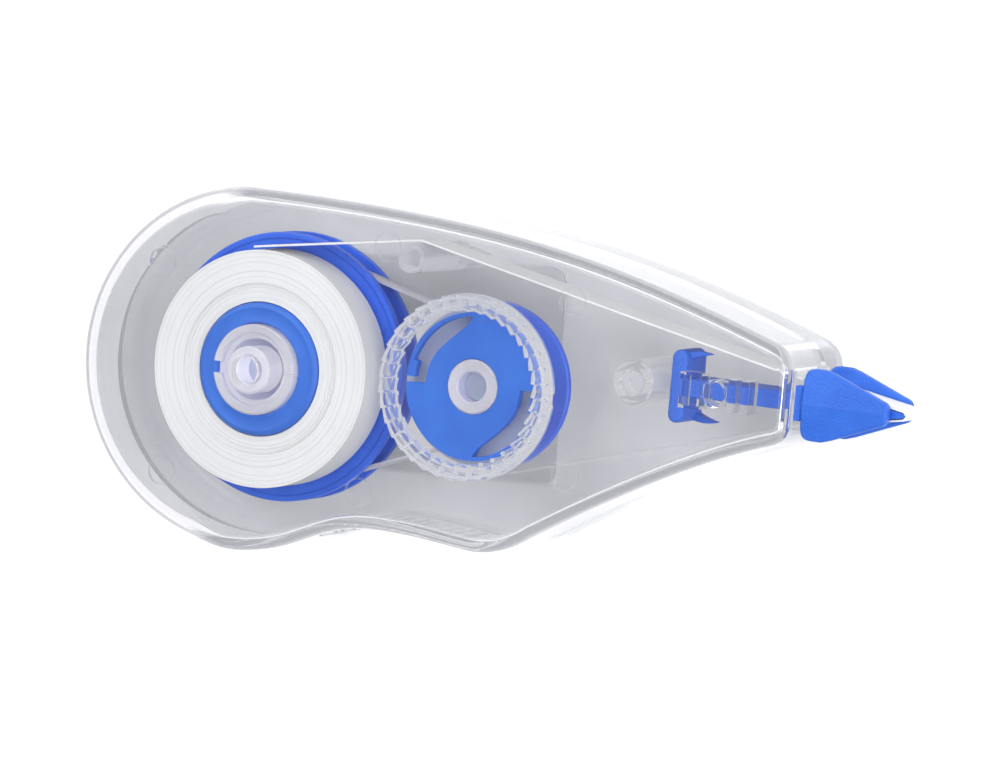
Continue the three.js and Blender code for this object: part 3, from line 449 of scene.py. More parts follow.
# ---------------------------------------------------------------------------------------------
# FRONT SHELL. The other half of the clear case, with the rounded tail that sits in the palm.
# Its locating peg drops into the supply spindle and its pin into the front post.
# ---------------------------------------------------------------------------------------------
front_shell = shell_body("front_shell_clear", CASE_THICKNESS, PARTING_Z + PARTING_GAP / 2)
INNER_FACE = CASE_THICKNESS - WALL
PEG_RADIUS, PEG_BORE, PIN_RADIUS = 2.6, 1.6, 1.2
PEG_TIP, PEG_ROOT = INNER_FACE - 3.4, INNER_FACE - 0.06
pegs = bmesh.new()
add_tube(pegs, PEG_RADIUS, PEG_BORE, PEG_TIP, PEG_ROOT, edge=0.2)
front_pegs = smooth_shaded(solid_from(pegs, "front_pegs_clear"))
finish_piece(front_pegs, post_plastic, "case", "clear_case")
pegs = bmesh.new()
add_rod(pegs, PIN_RADIUS, PEG_TIP, PEG_ROOT, (FRONT_POST_X, TIP_Y))
front_pin = smooth_shaded(solid_from(pegs, "front_pin_clear"))
finish_piece(front_pin, pin_plastic, "case", "clear_case")

# Greyish floors that close the bores of the peg and of the take-up spindle; their dark grey is painted
# shade for the depth of the bores
FLOOR_THICK = 0.6
PEG_FLOOR_RADIUS, PEG_FLOOR_Z = 1.56, INNER_FACE - 3.3
TAKE_UP_FLOOR_RADIUS, TAKE_UP_FLOOR_Z = 1.6, 9.2
bore_shade_plastic = clear_plastic("bore_shade_floor_plastic", (0.34, 0.38, 0.50), (0.44, 0.48, 0.60), 0.1,
                                  (0.9, 0.9, 0.92), 0.2, 1.3, 0.3)
pegs = bmesh.new()
add_rod(pegs, PEG_FLOOR_RADIUS, PEG_FLOOR_Z, PEG_FLOOR_Z + FLOOR_THICK, edge=0.1)
add_rod(pegs, TAKE_UP_FLOOR_RADIUS, TAKE_UP_FLOOR_Z, TAKE_UP_FLOOR_Z + FLOOR_THICK, TAKE_UP, edge=0.1)
bore_shade_floors = smooth_shaded(solid_from(pegs, "bore_shade_floors_clear"))
finish_piece(bore_shade_floors, bore_shade_plastic, "case", "clear_case")

# Small uneven lumps under the scooped grip
GRIP_LUMPS, GRIP_START, GRIP_PITCH = 13, 9.6, 1.4
LUMP_ROOT, LUMP_SHOULDER, LUMP_SHOULDER_RISE = 0.4, 0.6, 0.7
grip = random.Random(3)
tool = bmesh.new()
underside = [(x, y) for x, y in case_outline() if 9 < x < 28 and y < -10]
for k in range(GRIP_LUMPS):
    x = GRIP_START + GRIP_PITCH * k + grip.uniform(-0.3, 0.3)
    y = min(underside, key=lambda p: abs(p[0] - x))[1]
    half, rise = grip.uniform(0.25, 0.5), grip.uniform(0.08, 0.2)
    shoulder = y - rise * LUMP_SHOULDER_RISE
    add_prism(tool, [(x - half, y + LUMP_ROOT), (x - half * LUMP_SHOULDER, shoulder), (x, y - rise),
                     (x + half * LUMP_SHOULDER, shoulder), (x + half, y + LUMP_ROOT)],
              PARTING_Z + 0.6, CASE_THICKNESS - EDGE_ROUND - grip.uniform(0.2, 2.5))

# Fittings in the neck that hold the stem of the tip: a ring, two bars and an open frame
FITTING_LOW, FITTING_HIGH = TIP_Z + 2.95, INNER_FACE + 0.6
RING_X, RING_OUTER, RING_INNER = 55.2, 1.5, 1.2
BARS, BAR_HALF = ((56.8, 57.7), (58.3, 59.2)), 1.75
FRAME_X0, FRAME_X1, FRAME_HALF = 51.2, 53.6, 1.9
WINDOW_X0, WINDOW_X1, WINDOW_HALF = 51.5, 53.3, 1.6
add_tube(tool, RING_OUTER, RING_INNER, FITTING_LOW, FITTING_HIGH, (RING_X, TIP_Y), 48)
for x0, x1 in BARS:
    add_block(tool, x0, x1, TIP_Y - BAR_HALF, TIP_Y + BAR_HALF, FITTING_LOW, FITTING_HIGH)
add_block(tool, FRAME_X0, FRAME_X1, TIP_Y - FRAME_HALF, TIP_Y + FRAME_HALF, FITTING_LOW, FITTING_HIGH)
carve(front_shell, "UNION", tool)

# The frame's window and the faint rings that the ejector pins leave on the inner face
EJECTOR_MARKS = ((-11.5, 10.5), (-9.5, -12.2), (15.7, 15.3), (14.7, -11.5), (38.0, 12.1), (38.9, -6.6))
MARK_OUTER, MARK_INNER, MARK_DEPTH = 1.62, 1.48, 0.08
tool = bmesh.new()
add_block(tool, WINDOW_X0, WINDOW_X1, TIP_Y - WINDOW_HALF, TIP_Y + WINDOW_HALF, TIP_Z + 2, INNER_FACE - 0.1)
for place in EJECTOR_MARKS:
    add_tube(tool, MARK_OUTER, MARK_INNER, INNER_FACE - 0.5, INNER_FACE + MARK_DEPTH, place, 48, 0.02)
carve(front_shell, "DIFFERENCE", tool)
tool = bmesh.new()
add_block(tool, *NOSE_MOUTH)
add_rod(tool, PEG_BORE, CASE_THICKNESS - 3.4, CASE_THICKNESS + 1)
carve(front_shell, "DIFFERENCE", tool)
smooth_shaded(front_shell)
finish_piece(front_shell, case_plastic, "case", "clear_case", "front_shell")


# ---------------------------------------------------------------------------------------------
# SUPPLY PULLEY. Deep blue moulding that turns freely on the supply spindle: two flanges with the
# belt groove between them, a raised lip on the front flange, and ribs in its hollow back.
# ---------------------------------------------------------------------------------------------
def moulded_plastic(name, dark, light, roughness, grain_scale, strength, distance):
    """Opaque moulded plastic with a fine grain and a slight drift of colour."""
    made, nodes, links, shader = new_material(name)
    grain = grain_node(nodes, grain_scale, 160)
    links.new(ramp(nodes, links, grain.outputs["Patches"], [(0.25, dark), (0.75, light)]),
              shader.inputs["Base Color"])
    shader.inputs["Roughness"].default_value = roughness
    bumped(nodes, links, shader, grain.outputs["Height"], strength, distance)
    return made


def round_edges(body, width, segments=2, angle=35):
    """Breaks the sharp edges of a piece and shades it smooth."""
    step = body.modifiers.new("broken edges", "BEVEL")
    step.width = width * MM
    step.segments = segments
    step.limit_method = "ANGLE"
    step.angle_limit = math.radians(angle)
    step.harden_normals = False
    return smooth_shaded(body, 40)


deep_blue = moulded_plastic("deep_blue_plastic", (0.002, 0.085, 0.72), (0.008, 0.15, 0.85),
                            0.38, 1700, 0.25, 0.00008)
HUB_BORE, HUB_RADIUS, HUB_TOP = 5.05, 5.75, 9.0
PULLEY_BACK, PULLEY_FACE, FLANGE_RADIUS = 2.2, 6.3, 14.8
GROOVE_RADIUS, GROOVE_LOW, GROOVE_HIGH = 12.6, 3.1, 5.3
HOLLOW_RADIUS, HOLLOW_Z, DISH_Z = 11.7, 4.9, 6.15
RIBS, RIB_START, RIB_HALF, RIB_OVERLAP = 6, 15, 0.4, 0.03
mesh = bmesh.new()
add_turned(mesh, [(HUB_BORE, PULLEY_BACK), (HUB_RADIUS, PULLEY_BACK), (HUB_RADIUS, HOLLOW_Z),
                  (HOLLOW_RADIUS, HOLLOW_Z), (HOLLOW_RADIUS, PULLEY_BACK), (FLANGE_RADIUS, PULLEY_BACK),
                  (FLANGE_RADIUS, GROOVE_LOW), (GROOVE_RADIUS, GROOVE_LOW), (GROOVE_RADIUS, GROOVE_HIGH),
                  (FLANGE_RADIUS, GROOVE_HIGH), (FLANGE_RADIUS, PULLEY_FACE - 0.1),
                  (FLANGE_RADIUS - 0.1, PULLEY_FACE), (14.2, PULLEY_FACE), (14.05, DISH_Z),
                  (HUB_RADIUS, DISH_Z), (HUB_RADIUS, HUB_TOP), (HUB_BORE, HUB_TOP)], segments=144)
for i in range(RIBS):
    angle = math.radians(360 / RIBS * i + RIB_START)
    out_x, out_y = math.cos(angle), math.sin(angle)
    near, far = HUB_RADIUS - RIB_OVERLAP, HOLLOW_RADIUS + RIB_OVERLAP
    corners = ((near, -RIB_HALF), (far, -RIB_HALF), (far, RIB_HALF), (near, RIB_HALF))
    add_prism(mesh, [(r * out_x - w * out_y, r * out_y + w * out_x) for r, w in corners],
              PULLEY_BACK + 0.3, HOLLOW_Z + 0.02)
supply_pulley = round_edges(solid_from(mesh, "supply_pulley_blue"), 0.12)
finish_piece(supply_pulley, deep_blue, "supply_reel", "deep_blue", "supply_pulley")

# ---------------------------------------------------------------------------------------------
# SUPPLY CORE. Mid-blue moulded ring that the tape is wound on, pressed over the pulley hub.
# Its near end stands a little proud of the winding and has a wide soft chamfer.
# ---------------------------------------------------------------------------------------------
blue = moulded_plastic("blue_plastic", (0.006, 0.11, 0.56), (0.015, 0.165, 0.70), 0.5, 1900, 0.35, 0.00008)
CORE_BORE, CORE_RADIUS, CORE_TOP = 5.85, 7.3, 12.1
CORE_STEP_Z, CORE_DISH_Z = 9.1, 12.06
mesh = bmesh.new()
add_turned(mesh, [(CORE_BORE, PULLEY_FACE), (CORE_RADIUS, PULLEY_FACE), (CORE_RADIUS, 11.6), (7.2, 11.85),
                  (7.0, 12.02), (6.7, CORE_TOP), (6.6, CORE_DISH_Z), (5.4, CORE_DISH_Z), (5.3, CORE_TOP),
                  (5.12, CORE_TOP), (HUB_BORE, 12.0), (HUB_BORE, CORE_STEP_Z), (CORE_BORE, CORE_STEP_Z)],
           segments=128)
supply_core = round_edges(solid_from(mesh, "supply_core_blue"), 0.04, 2)
finish_piece(supply_core, blue, "supply_reel", "blue", "supply_core")

# ---------------------------------------------------------------------------------------------
# CORRECTION TAPE ROLL. White coated film wound edge on edge; the turns don't line up exactly,
# so the near face shows fine rings, deeper near the core where the winding began.
# ---------------------------------------------------------------------------------------------
ROLL_RADIUS, ROLL_INNER, TAPE_LOW, TAPE_HIGH = 13.0, 7.4, 6.6, 11.6
DRAWN_TURNS, UNRULY_RADIUS = 64, 9.6
LOOSE_DIP, TIGHT_DIP = 0.13, 0.05
winding = random.Random(7)
profile = [(ROLL_INNER, TAPE_LOW)]
for i in range(DRAWN_TURNS + 1):
    radius = ROLL_INNER + (ROLL_RADIUS - ROLL_INNER) * i / DRAWN_TURNS
    unruly = LOOSE_DIP if radius < UNRULY_RADIUS else TIGHT_DIP
    dip = winding.random() ** 3 * unruly
    profile.append((radius - 0.02, TAPE_HIGH - dip))
    profile.append((radius + 0.02, TAPE_HIGH - dip * 0.3))
profile[-1] = (ROLL_RADIUS, TAPE_HIGH - 0.03)
profile[-2] = (ROLL_RADIUS - 0.03, TAPE_HIGH)
profile.append((ROLL_RADIUS, TAPE_LOW))
mesh = bmesh.new()
add_turned(mesh, profile, segments=160)
tape_roll = smooth_shaded(solid_from(mesh, "correction_tape_wound"), 50)
wound, nodes, links, shader = new_material("wound_tape")
place, split = nodes.new("ShaderNodeTexCoord"), nodes.new("ShaderNodeSeparateXYZ")
flat = nodes.new("ShaderNodeCombineXYZ")
links.new(place.outputs["Object"], split.inputs[0])
links.new(split.outputs["X"], flat.inputs["X"])
links.new(split.outputs["Y"], flat.inputs["Y"])
reach = nodes.new("ShaderNodeVectorMath")
reach.operation = "LENGTH"
links.new(flat.outputs[0], reach.inputs[0])
rings = nodes.new("ShaderNodeTexNoise")
rings.noise_dimensions = "1D"
rings.inputs["Scale"].default_value = 5200
rings.inputs["Detail"].default_value = 3
links.new(reach.outputs["Value"], rings.inputs["W"])
links.new(ramp(nodes, links, rings.outputs["Fac"],
               [(0.28, (0.60, 0.60, 0.585)), (0.42, (0.80, 0.80, 0.785)), (0.8, (0.86, 0.86, 0.85))]),
          shader.inputs["Base Color"])
shader.inputs["Roughness"].default_value = 0.7
bumped(nodes, links, shader, rings.outputs["Fac"], 0.35, 0.00005)
finish_piece(tape_roll, wound, "supply_reel", "tape", "correction_tape_roll")

# ---------------------------------------------------------------------------------------------
# TAKE-UP PULLEY. Small deep blue pulley on the take-up spindle, driven by the belt.
# Its long hub carries the clutch disc.
# ---------------------------------------------------------------------------------------------
SMALL_BORE, SMALL_HUB_RADIUS, SMALL_HUB_TOP = 3.05, 3.95, 10.1
SMALL_GROOVE_RADIUS, BACK_FLANGE_RADIUS, FRONT_FLANGE_RADIUS = 4.9, 7.4, 9.0
SMALL_FACE = 6.2
mesh = bmesh.new()
add_turned(mesh, [(SMALL_BORE, PULLEY_BACK), (BACK_FLANGE_RADIUS, PULLEY_BACK),
                  (BACK_FLANGE_RADIUS, GROOVE_LOW), (SMALL_GROOVE_RADIUS, GROOVE_LOW),
                  (SMALL_GROOVE_RADIUS, GROOVE_HIGH), (FRONT_FLANGE_RADIUS, GROOVE_HIGH),
                  (FRONT_FLANGE_RADIUS, SMALL_FACE), (SMALL_HUB_RADIUS, SMALL_FACE),
                  (SMALL_HUB_RADIUS, SMALL_HUB_TOP), (SMALL_BORE, SMALL_HUB_TOP)], TAKE_UP, 112)
take_up_pulley = round_edges(solid_from(mesh, "take_up_pulley_blue"), 0.12)
finish_piece(take_up_pulley, deep_blue, "take_up_drive", "deep_blue", "take_up_pulley")


# ---------------------------------------------------------------------------------------------
# CLUTCH DISC. Mid-blue moulded disc keyed to the pulley hub. Two crescents cut inside its rim
# leave two springy arms, and the hooked pawls at their ends click over the ratchet teeth.
# ---------------------------------------------------------------------------------------------
def from_cad(node, name, merge=0.002):
    """A copy of a solid's mesh as a new piece, with its split corners joined again."""
    mesh = bmesh.new()
    mesh.from_mesh(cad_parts[node].data)
    bmesh.ops.remove_doubles(mesh, verts=mesh.verts, dist=merge * MM)
    bmesh.ops.dissolve_limit(mesh, angle_limit=math.radians(1), verts=mesh.verts, edges=mesh.edges)
    bmesh.ops.recalc_face_normals(mesh, faces=mesh.faces)
    return solid_from(mesh, name)


clutch_disc = round_edges(from_cad("clutch_disc", "clutch_disc_blue"), 0.07)
finish_piece(clutch_disc, blue, "take_up_drive", "blue", "clutch_disc")

# ---------------------------------------------------------------------------------------------
# TAKE-UP SPOOL. Clear moulding that winds the used liner. Above its drum stands a crown with
# 36 ratchet teeth inside, 36 open pockets, and a saw-edged outside; a frosted web closes it below.
# ---------------------------------------------------------------------------------------------
TEETH = 36
TOOTH_STEEPNESS = 0.93
CROWN_RADIUS, CROWN_SAW_DEPTH, CROWN_LOW, CROWN_TOP = 9.8, 0.22, 12.42, 13.85
TOOTH_RADIUS, TOOTH_DEPTH = 8.2, 0.4
POCKET_INNER, POCKET_OUTER, POCKET_MARGIN = 8.85, 9.5, 0.014
TOOTH_CUT_FROM, POCKET_CUT_FROM, CUT_TO = 11, 12, 15
spool_plastic = clear_plastic("clear_spool_plastic", (0.90, 0.91, 0.95), (0.97, 0.97, 0.99), 0.05,
                              (0.97, 0.97, 0.99), 0.1, 1.3, 0.93)
crown_plastic = clear_plastic("clear_crown_plastic", (0.93, 0.94, 0.97), (0.99, 0.99, 1.0), 0.05,
                              (0.96, 0.96, 0.98), 0.1, 1.28, 0.93)


def saw_outline(low, depth, steepness=TOOTH_STEEPNESS):
    """A ring of saw teeth: the radius grows by the depth over each pitch, then drops."""
    points = []
    for i in range(TEETH):
        for share, radius in ((0, low), (steepness * 0.5, low + depth * 0.45), (steepness, low + depth)):
            angle = 2 * math.pi * (i + share) / TEETH
            points.append((TAKE_UP[0] + radius * math.cos(angle), TAKE_UP[1] + radius * math.sin(angle)))
    return points


def sector(r0, r1, a0, a1, steps=2):
    """Outline of a piece of a ring about the take-up axis, angles in radians."""
    outer = [(r1, a0 + (a1 - a0) * i / steps) for i in range(steps + 1)]
    inner = [(r0, a) for _, a in reversed(outer)]
    return [(TAKE_UP[0] + r * math.cos(a), TAKE_UP[1] + r * math.sin(a)) for r, a in outer + inner]


mesh = bmesh.new()
add_prism(mesh, saw_outline(CROWN_RADIUS, CROWN_SAW_DEPTH), CROWN_LOW, CROWN_TOP)
crown = solid_from(mesh, "take_up_crown_clear")
mesh = bmesh.new()
add_prism(mesh, saw_outline(TOOTH_RADIUS, TOOTH_DEPTH), TOOTH_CUT_FROM, CUT_TO)
carve(crown, "DIFFERENCE", mesh)
mesh = bmesh.new()
for i in range(TEETH):
    start = 2 * math.pi * (i + TOOTH_STEEPNESS) / TEETH + POCKET_MARGIN
    end = start + 2 * math.pi / TEETH - 2 * POCKET_MARGIN
    add_prism(mesh, sector(POCKET_INNER, POCKET_OUTER, start, end), POCKET_CUT_FROM, CUT_TO)
carve(crown, "DIFFERENCE", mesh)
smooth_shaded(crown)
finish_piece(crown, crown_plastic, "take_up_reel", "clear_spool")

# The spool's flange under the crown, its thin drum with two stops, and the web
SPOOL_FLANGE_BORE, SPOOL_FLANGE_RADIUS, SPOOL_FLANGE_LOW, SPOOL_FLANGE_TOP = 8.75, 10.1, 11.75, 12.4
DRUM_OUTER, DRUM_INNER, DRUM_LOW, DRUM_TOP = 8.95, 8.62, 6.45, 11.72
STOP_ANGLES, STOP_RADIUS = (82, 16), 8.05
WEB_BORE, WEB_RADIUS, WEB_LOW, WEB_TOP = 4.1, 8.6, 9.2, 9.85
mesh = bmesh.new()
add_turned(mesh, [(SPOOL_FLANGE_BORE, SPOOL_FLANGE_LOW), (SPOOL_FLANGE_RADIUS - 0.15, SPOOL_FLANGE_LOW),
                  (SPOOL_FLANGE_RADIUS, SPOOL_FLANGE_LOW + 0.1),
                  (SPOOL_FLANGE_RADIUS, SPOOL_FLANGE_TOP - 0.1),
                  (SPOOL_FLANGE_RADIUS - 0.1, SPOOL_FLANGE_TOP), (SPOOL_FLANGE_BORE, SPOOL_FLANGE_TOP)],
           TAKE_UP, 144)
spool = solid_from(mesh, "take_up_spool_clear")
mesh = bmesh.new()
add_prism(mesh, sector(9.75, 10.5, -0.07, 0.05), 11, 12.2)
carve(spool, "DIFFERENCE", mesh)
mesh = bmesh.new()
add_tube(mesh, DRUM_OUTER, DRUM_INNER, DRUM_LOW, DRUM_TOP, TAKE_UP, 96, 0.05)
for stop_angle in STOP_ANGLES:
    angle = math.radians(stop_angle)
    add_prism(mesh, sector(STOP_RADIUS - 0.75, STOP_RADIUS + 0.12, angle - 0.06, angle + 0.06), 12.2, 12.9)
drum = solid_from(mesh, "take_up_drum_clear")
round_edges(spool, 0.05)
smooth_shaded(drum)
finish_piece(spool, spool_plastic, "take_up_reel", "clear_spool", "take_up_spool")
drum_plastic = clear_plastic("clear_drum_plastic", (0.99, 0.99, 1.0), (1.0, 1.0, 1.0), 0.02,
                             (0.99, 0.99, 0.99), 0.05, 1.03, 1)
finish_piece(drum, drum_plastic, "take_up_reel", "clear_spool")
frosted = moulded_plastic("frosted_plastic", (0.50, 0.56, 0.72), (0.66, 0.70, 0.80), 0.6, 700, 0.2, 0.0001)
frosted.node_tree.nodes["Principled BSDF"].inputs["Transmission Weight"].default_value = 0.25
mesh = bmesh.new()
add_turned(mesh, [(WEB_BORE, WEB_LOW), (WEB_RADIUS, WEB_LOW), (WEB_RADIUS, WEB_TOP), (WEB_BORE, WEB_TOP)],
           TAKE_UP, 96)
web = round_edges(solid_from(mesh, "take_up_web_frosted"), 0.08)
finish_piece(web, frosted, "take_up_reel", "clear_spool")

# ---------------------------------------------------------------------------------------------
# USED LINER. Bare translucent film that is left when the tape has gone on to the paper; its
# first turns lie wound on the take-up drum.
# ---------------------------------------------------------------------------------------------
liner_film = clear_plastic("liner_film", (0.985, 0.985, 0.99), (1.0, 1.0, 1.0), 0.03,
                           (0.99, 0.99, 0.99), 0.1, 1.04, 0.98)
LINER_OUTER, LINER_INNER = 9.3, 9.2
mesh = bmesh.new()
add_tube(mesh, LINER_OUTER, LINER_INNER, TAPE_LOW, TAPE_HIGH, TAKE_UP, 128, 0.02)
liner_turns = smooth_shaded(solid_from(mesh, "used_liner_turns"))
finish_piece(liner_turns, liner_film, "take_up_reel", "liner", "used_liner_winding")


# ---------------------------------------------------------------------------------------------
# DRIVE BELT. A plain loop of whitish translucent rubber, flat on the inside and rounded outside,
# that runs uncrossed in both grooves.
# ---------------------------------------------------------------------------------------------
BELT_CLEARANCE = 0.15
BELT_SECTION = ((0, 3.3), (0, 5.1), (0.25, 5.12), (0.45, 4.9), (0.5, 4.5), (0.5, 3.9), (0.45, 3.5),
                (0.25, 3.28))
LARGE_STEPS, SMALL_STEPS = 96, 32


def belt_path(clearance):
    """Points and outward directions once round both grooves."""
    large, small = GROOVE_RADIUS + clearance, SMALL_GROOVE_RADIUS + clearance
    open_angle = math.acos((large - small) / SPINDLE_DISTANCE)
    path = []
    for i in range(LARGE_STEPS + 1):
        angle = SPINDLE_LINE + open_angle + i / LARGE_STEPS * 2 * (math.pi - open_angle)
        path.append((large * math.cos(angle), large * math.sin(angle), angle))
    for i in range(SMALL_STEPS + 1):
        angle = SPINDLE_LINE - open_angle + i / SMALL_STEPS * 2 * open_angle
        path.append((TAKE_UP[0] + small * math.cos(angle), TAKE_UP[1] + small * math.sin(angle), angle))
    return path


belt_rubber, nodes, links, shader = new_material("belt_rubber")
grain = grain_node(nodes, 1200, 200)
links.new(ramp(nodes, links, grain.outputs["Patches"],
               [(0.3, (0.72, 0.70, 0.76)), (0.7, (0.84, 0.82, 0.87))]), shader.inputs["Base Color"])
shader.inputs["Roughness"].default_value = 0.45
shader.inputs["Transmission Weight"].default_value = 0.35
bumped(nodes, links, shader, grain.outputs["Height"], 0.3, 0.0001)
mesh = bmesh.new()
rows = []
for x, y, angle in belt_path(BELT_CLEARANCE):
    side_x, side_y = math.cos(angle), math.sin(angle)
    rows.append([mesh.verts.new(((x + out * side_x) * MM, (y + out * side_y) * MM, z * MM))
                 for out, z in BELT_SECTION])
for i, row in enumerate(rows):
    ahead = rows[(i + 1) % len(rows)]
    for k in range(len(BELT_SECTION)):
        n = (k + 1) % len(BELT_SECTION)
        mesh.faces.new((row[k], row[n], ahead[n], ahead[k]))
bmesh.ops.recalc_face_normals(mesh, faces=mesh.faces)
belt = smooth_shaded(solid_from(mesh, "drive_belt_rubber"), 50, weighted=False)
finish_piece(belt, belt_rubber, "case", "belt", "drive_belt")

# ---------------------------------------------------------------------------------------------
# TAPE RUNS. White tape leaves the top of the roll, bends over the guide post and runs to the
# blade; the bare liner comes back under the blade to the take-up drum.
# ---------------------------------------------------------------------------------------------
tape_white = moulded_plastic("tape_white", (0.80, 0.80, 0.785), (0.87, 0.87, 0.855),
                             0.55, 1400, 0.25, 0.00006)
feed_tape = smooth_shaded(from_cad("feed_tape", "feed_tape_white"))
finish_piece(feed_tape, tape_white, "case", "tape", "feed_tape")
return_liner = smooth_shaded(from_cad("return_liner", "return_liner_film"))
finish_piece(return_liner, liner_film, "case", "liner", "return_liner")

# ---------------------------------------------------------------------------------------------
# TIP. Matte blue moulding with a coarse spark-eroded skin: blade between two cheeks, a stem in
# the neck of the case and a T-bar that keeps it there. White tape is folded over the blade.
# ---------------------------------------------------------------------------------------------
matte_blue = moulded_plastic("matte_blue_plastic", (0.012, 0.10, 0.56), (0.030, 0.16, 0.72),
                             0.5, 4200, 0.9, 0.00012)
CHEEK_X0, CHEEK_X1 = 64.5, 74.1
CHEEK_INNER, CHEEK_THICK, CHEEK_HALF = 2.7, 1.1, 3.8
ROOT_RIDGE, POINT_RIDGE = 0.5, 0.22


def add_cheek(mesh, side):
    """One cheek: a long shield with a low ridge from its root to its point."""
    top = [(CHEEK_X0, 2.7), (CHEEK_X0 + 0.15, 3.3), (CHEEK_X0 + 0.55, 3.68), (CHEEK_X0 + 1.1, CHEEK_HALF),
           (CHEEK_X0 + 2.4, CHEEK_HALF), (CHEEK_X0 + 3.4, 3.5), (CHEEK_X1 - 1.0, 1.45),
           (CHEEK_X1 - 0.25, 1.15), (CHEEK_X1, 0.75)]
    outline = [(CHEEK_X0, 0)] + top + [(CHEEK_X1 + 0.02, 0)] + [(x, -y) for x, y in reversed(top)]
    near = TIP_Z + side * (CHEEK_INNER + CHEEK_THICK)
    far = TIP_Z + side * CHEEK_INNER
    ridge = {0: ROOT_RIDGE, len(top) + 1: POINT_RIDGE}
    inner = [mesh.verts.new((x * MM, (TIP_Y + y) * MM, far * MM)) for x, y in outline]
    outer = [mesh.verts.new((x * MM, (TIP_Y + y) * MM, (near + side * ridge.get(i, 0)) * MM))
             for i, (x, y) in enumerate(outline)]
    count = len(outline)
    faces = [mesh.faces.new(inner), mesh.faces.new(outer[:len(top) + 2]),
             mesh.faces.new(outer[len(top) + 1:] + outer[:1])]
    for i in range(count):
        j = (i + 1) % count
        faces.append(mesh.faces.new((inner[i], inner[j], outer[j], outer[i])))
    bmesh.ops.recalc_face_normals(mesh, faces=faces)


mesh = bmesh.new()
add_cheek(mesh, 1)
add_cheek(mesh, -1)
cheeks = round_edges(solid_from(mesh, "tip_cheeks_blue"), 0.34, 4, 30)
smooth_shaded(cheeks, 7)

# The wedge of the blade with its side bars, and the stem that runs back into the neck
BLADE_X0, BLADE_X1, BLADE_END = 64.3, 75.4, 75.6
BLADE_ROOT_HALF, BLADE_EDGE_HALF = 2.2, 0.25
SIDE_BAR_X0, SIDE_BAR_X1, SIDE_BAR_HALF, SIDE_BAR_OUT = 63.6, 64.45, 1.85, 3.8
STEM_X0, STEM_X1, STEM_HALF, STEM_DEPTH = 50.2, 64.28, 0.95, 2.6
mesh = bmesh.new()
add_prism(mesh, [(BLADE_X0, TIP_Y - BLADE_ROOT_HALF), (BLADE_X1, TIP_Y - BLADE_EDGE_HALF),
                 (BLADE_END, TIP_Y), (BLADE_X1, TIP_Y + BLADE_EDGE_HALF),
                 (BLADE_X0, TIP_Y + BLADE_ROOT_HALF)],
          TIP_Z - CHEEK_INNER, TIP_Z + CHEEK_INNER)
for low, high in ((CHEEK_INNER, SIDE_BAR_OUT), (-SIDE_BAR_OUT, -CHEEK_INNER)):
    add_block(mesh, SIDE_BAR_X0, SIDE_BAR_X1, TIP_Y - SIDE_BAR_HALF, TIP_Y + SIDE_BAR_HALF,
              TIP_Z + low, TIP_Z + high)
add_block(mesh, STEM_X0, STEM_X1, TIP_Y - STEM_HALF, TIP_Y + STEM_HALF,
          TIP_Z - STEM_DEPTH, TIP_Z + STEM_DEPTH)
blade = round_edges(solid_from(mesh, "tip_blade_blue"), 0.08)

# The round-ended T-bar at the end of the stem, and the arms that curve from it
TBAR_X, TBAR_REACH, TBAR_ROUND = 49.8, 3.0, 0.9
ARM = ((50.3, 3.6), (51.0, 3.8), (51.8, 3.88), (52.7, 3.8), (53.1, 3.68), (52.4, 3.5), (51.6, 3.25),
       (50.9, 2.95), (50.3, 2.8))
mesh = bmesh.new()
rounded = [(TBAR_X + TBAR_ROUND * math.cos(a),
            TIP_Y + side * TBAR_REACH + side * TBAR_ROUND * abs(math.sin(a)))
           for side, sweep in ((-1, (math.pi, 2 * math.pi)), (1, (0, math.pi)))
           for a in (sweep[0] + (sweep[1] - sweep[0]) * i / 10 for i in range(11))]
add_prism(mesh, rounded, TIP_Z - STEM_DEPTH, TIP_Z + STEM_DEPTH)
tbar = round_edges(solid_from(mesh, "tip_tbar_blue"), 0.35, 4)
mesh = bmesh.new()
add_prism(mesh, [(x, TIP_Y + y) for x, y in ARM], TIP_Z + 0.9, TIP_Z + 1.7)
add_prism(mesh, [(x, TIP_Y - y) for x, y in ARM], TIP_Z - 2.2, TIP_Z - 0.6)
arms = round_edges(solid_from(mesh, "tip_arms_blue"), 0.12)
for piece in (cheeks, blade, tbar, arms):
    finish_piece(piece, matte_blue, "tip", "matte_blue")
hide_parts("tip_head")
tip_tape = smooth_shaded(from_cad("tip_tape", "tip_tape_white"))
finish_piece(tip_tape, tape_white, "tip", "tape", "tip_tape")

# ---------------------------------------------------------------------------------------------
# LABEL. Blank milky film with round corners in the shallow recess of the rear face, seen from
# its back through the clear case.
# ---------------------------------------------------------------------------------------------
label_film = moulded_plastic("label_film", (0.97, 0.97, 0.975), (1.0, 1.0, 1.0), 0.5, 500, 0.1, 0.0001)
shader = label_film.node_tree.nodes["Principled BSDF"]
shader.inputs["Transmission Weight"].default_value = 0.15
shader.inputs["IOR"].default_value = 1.1
label = smooth_shaded(from_cad("label", "label_film_blank"))
finish_piece(label, label_film, "case", "label", "label")

# ---------------------------------------------------------------------------------------------
# TABLE, LIGHT AND CAMERA. A white sweep under soft boxes; the camera looks down on the case
# from a long way off, turned to the nose.
# ---------------------------------------------------------------------------------------------
scene = bpy.context.scene
scene.view_settings.view_transform = "Standard"

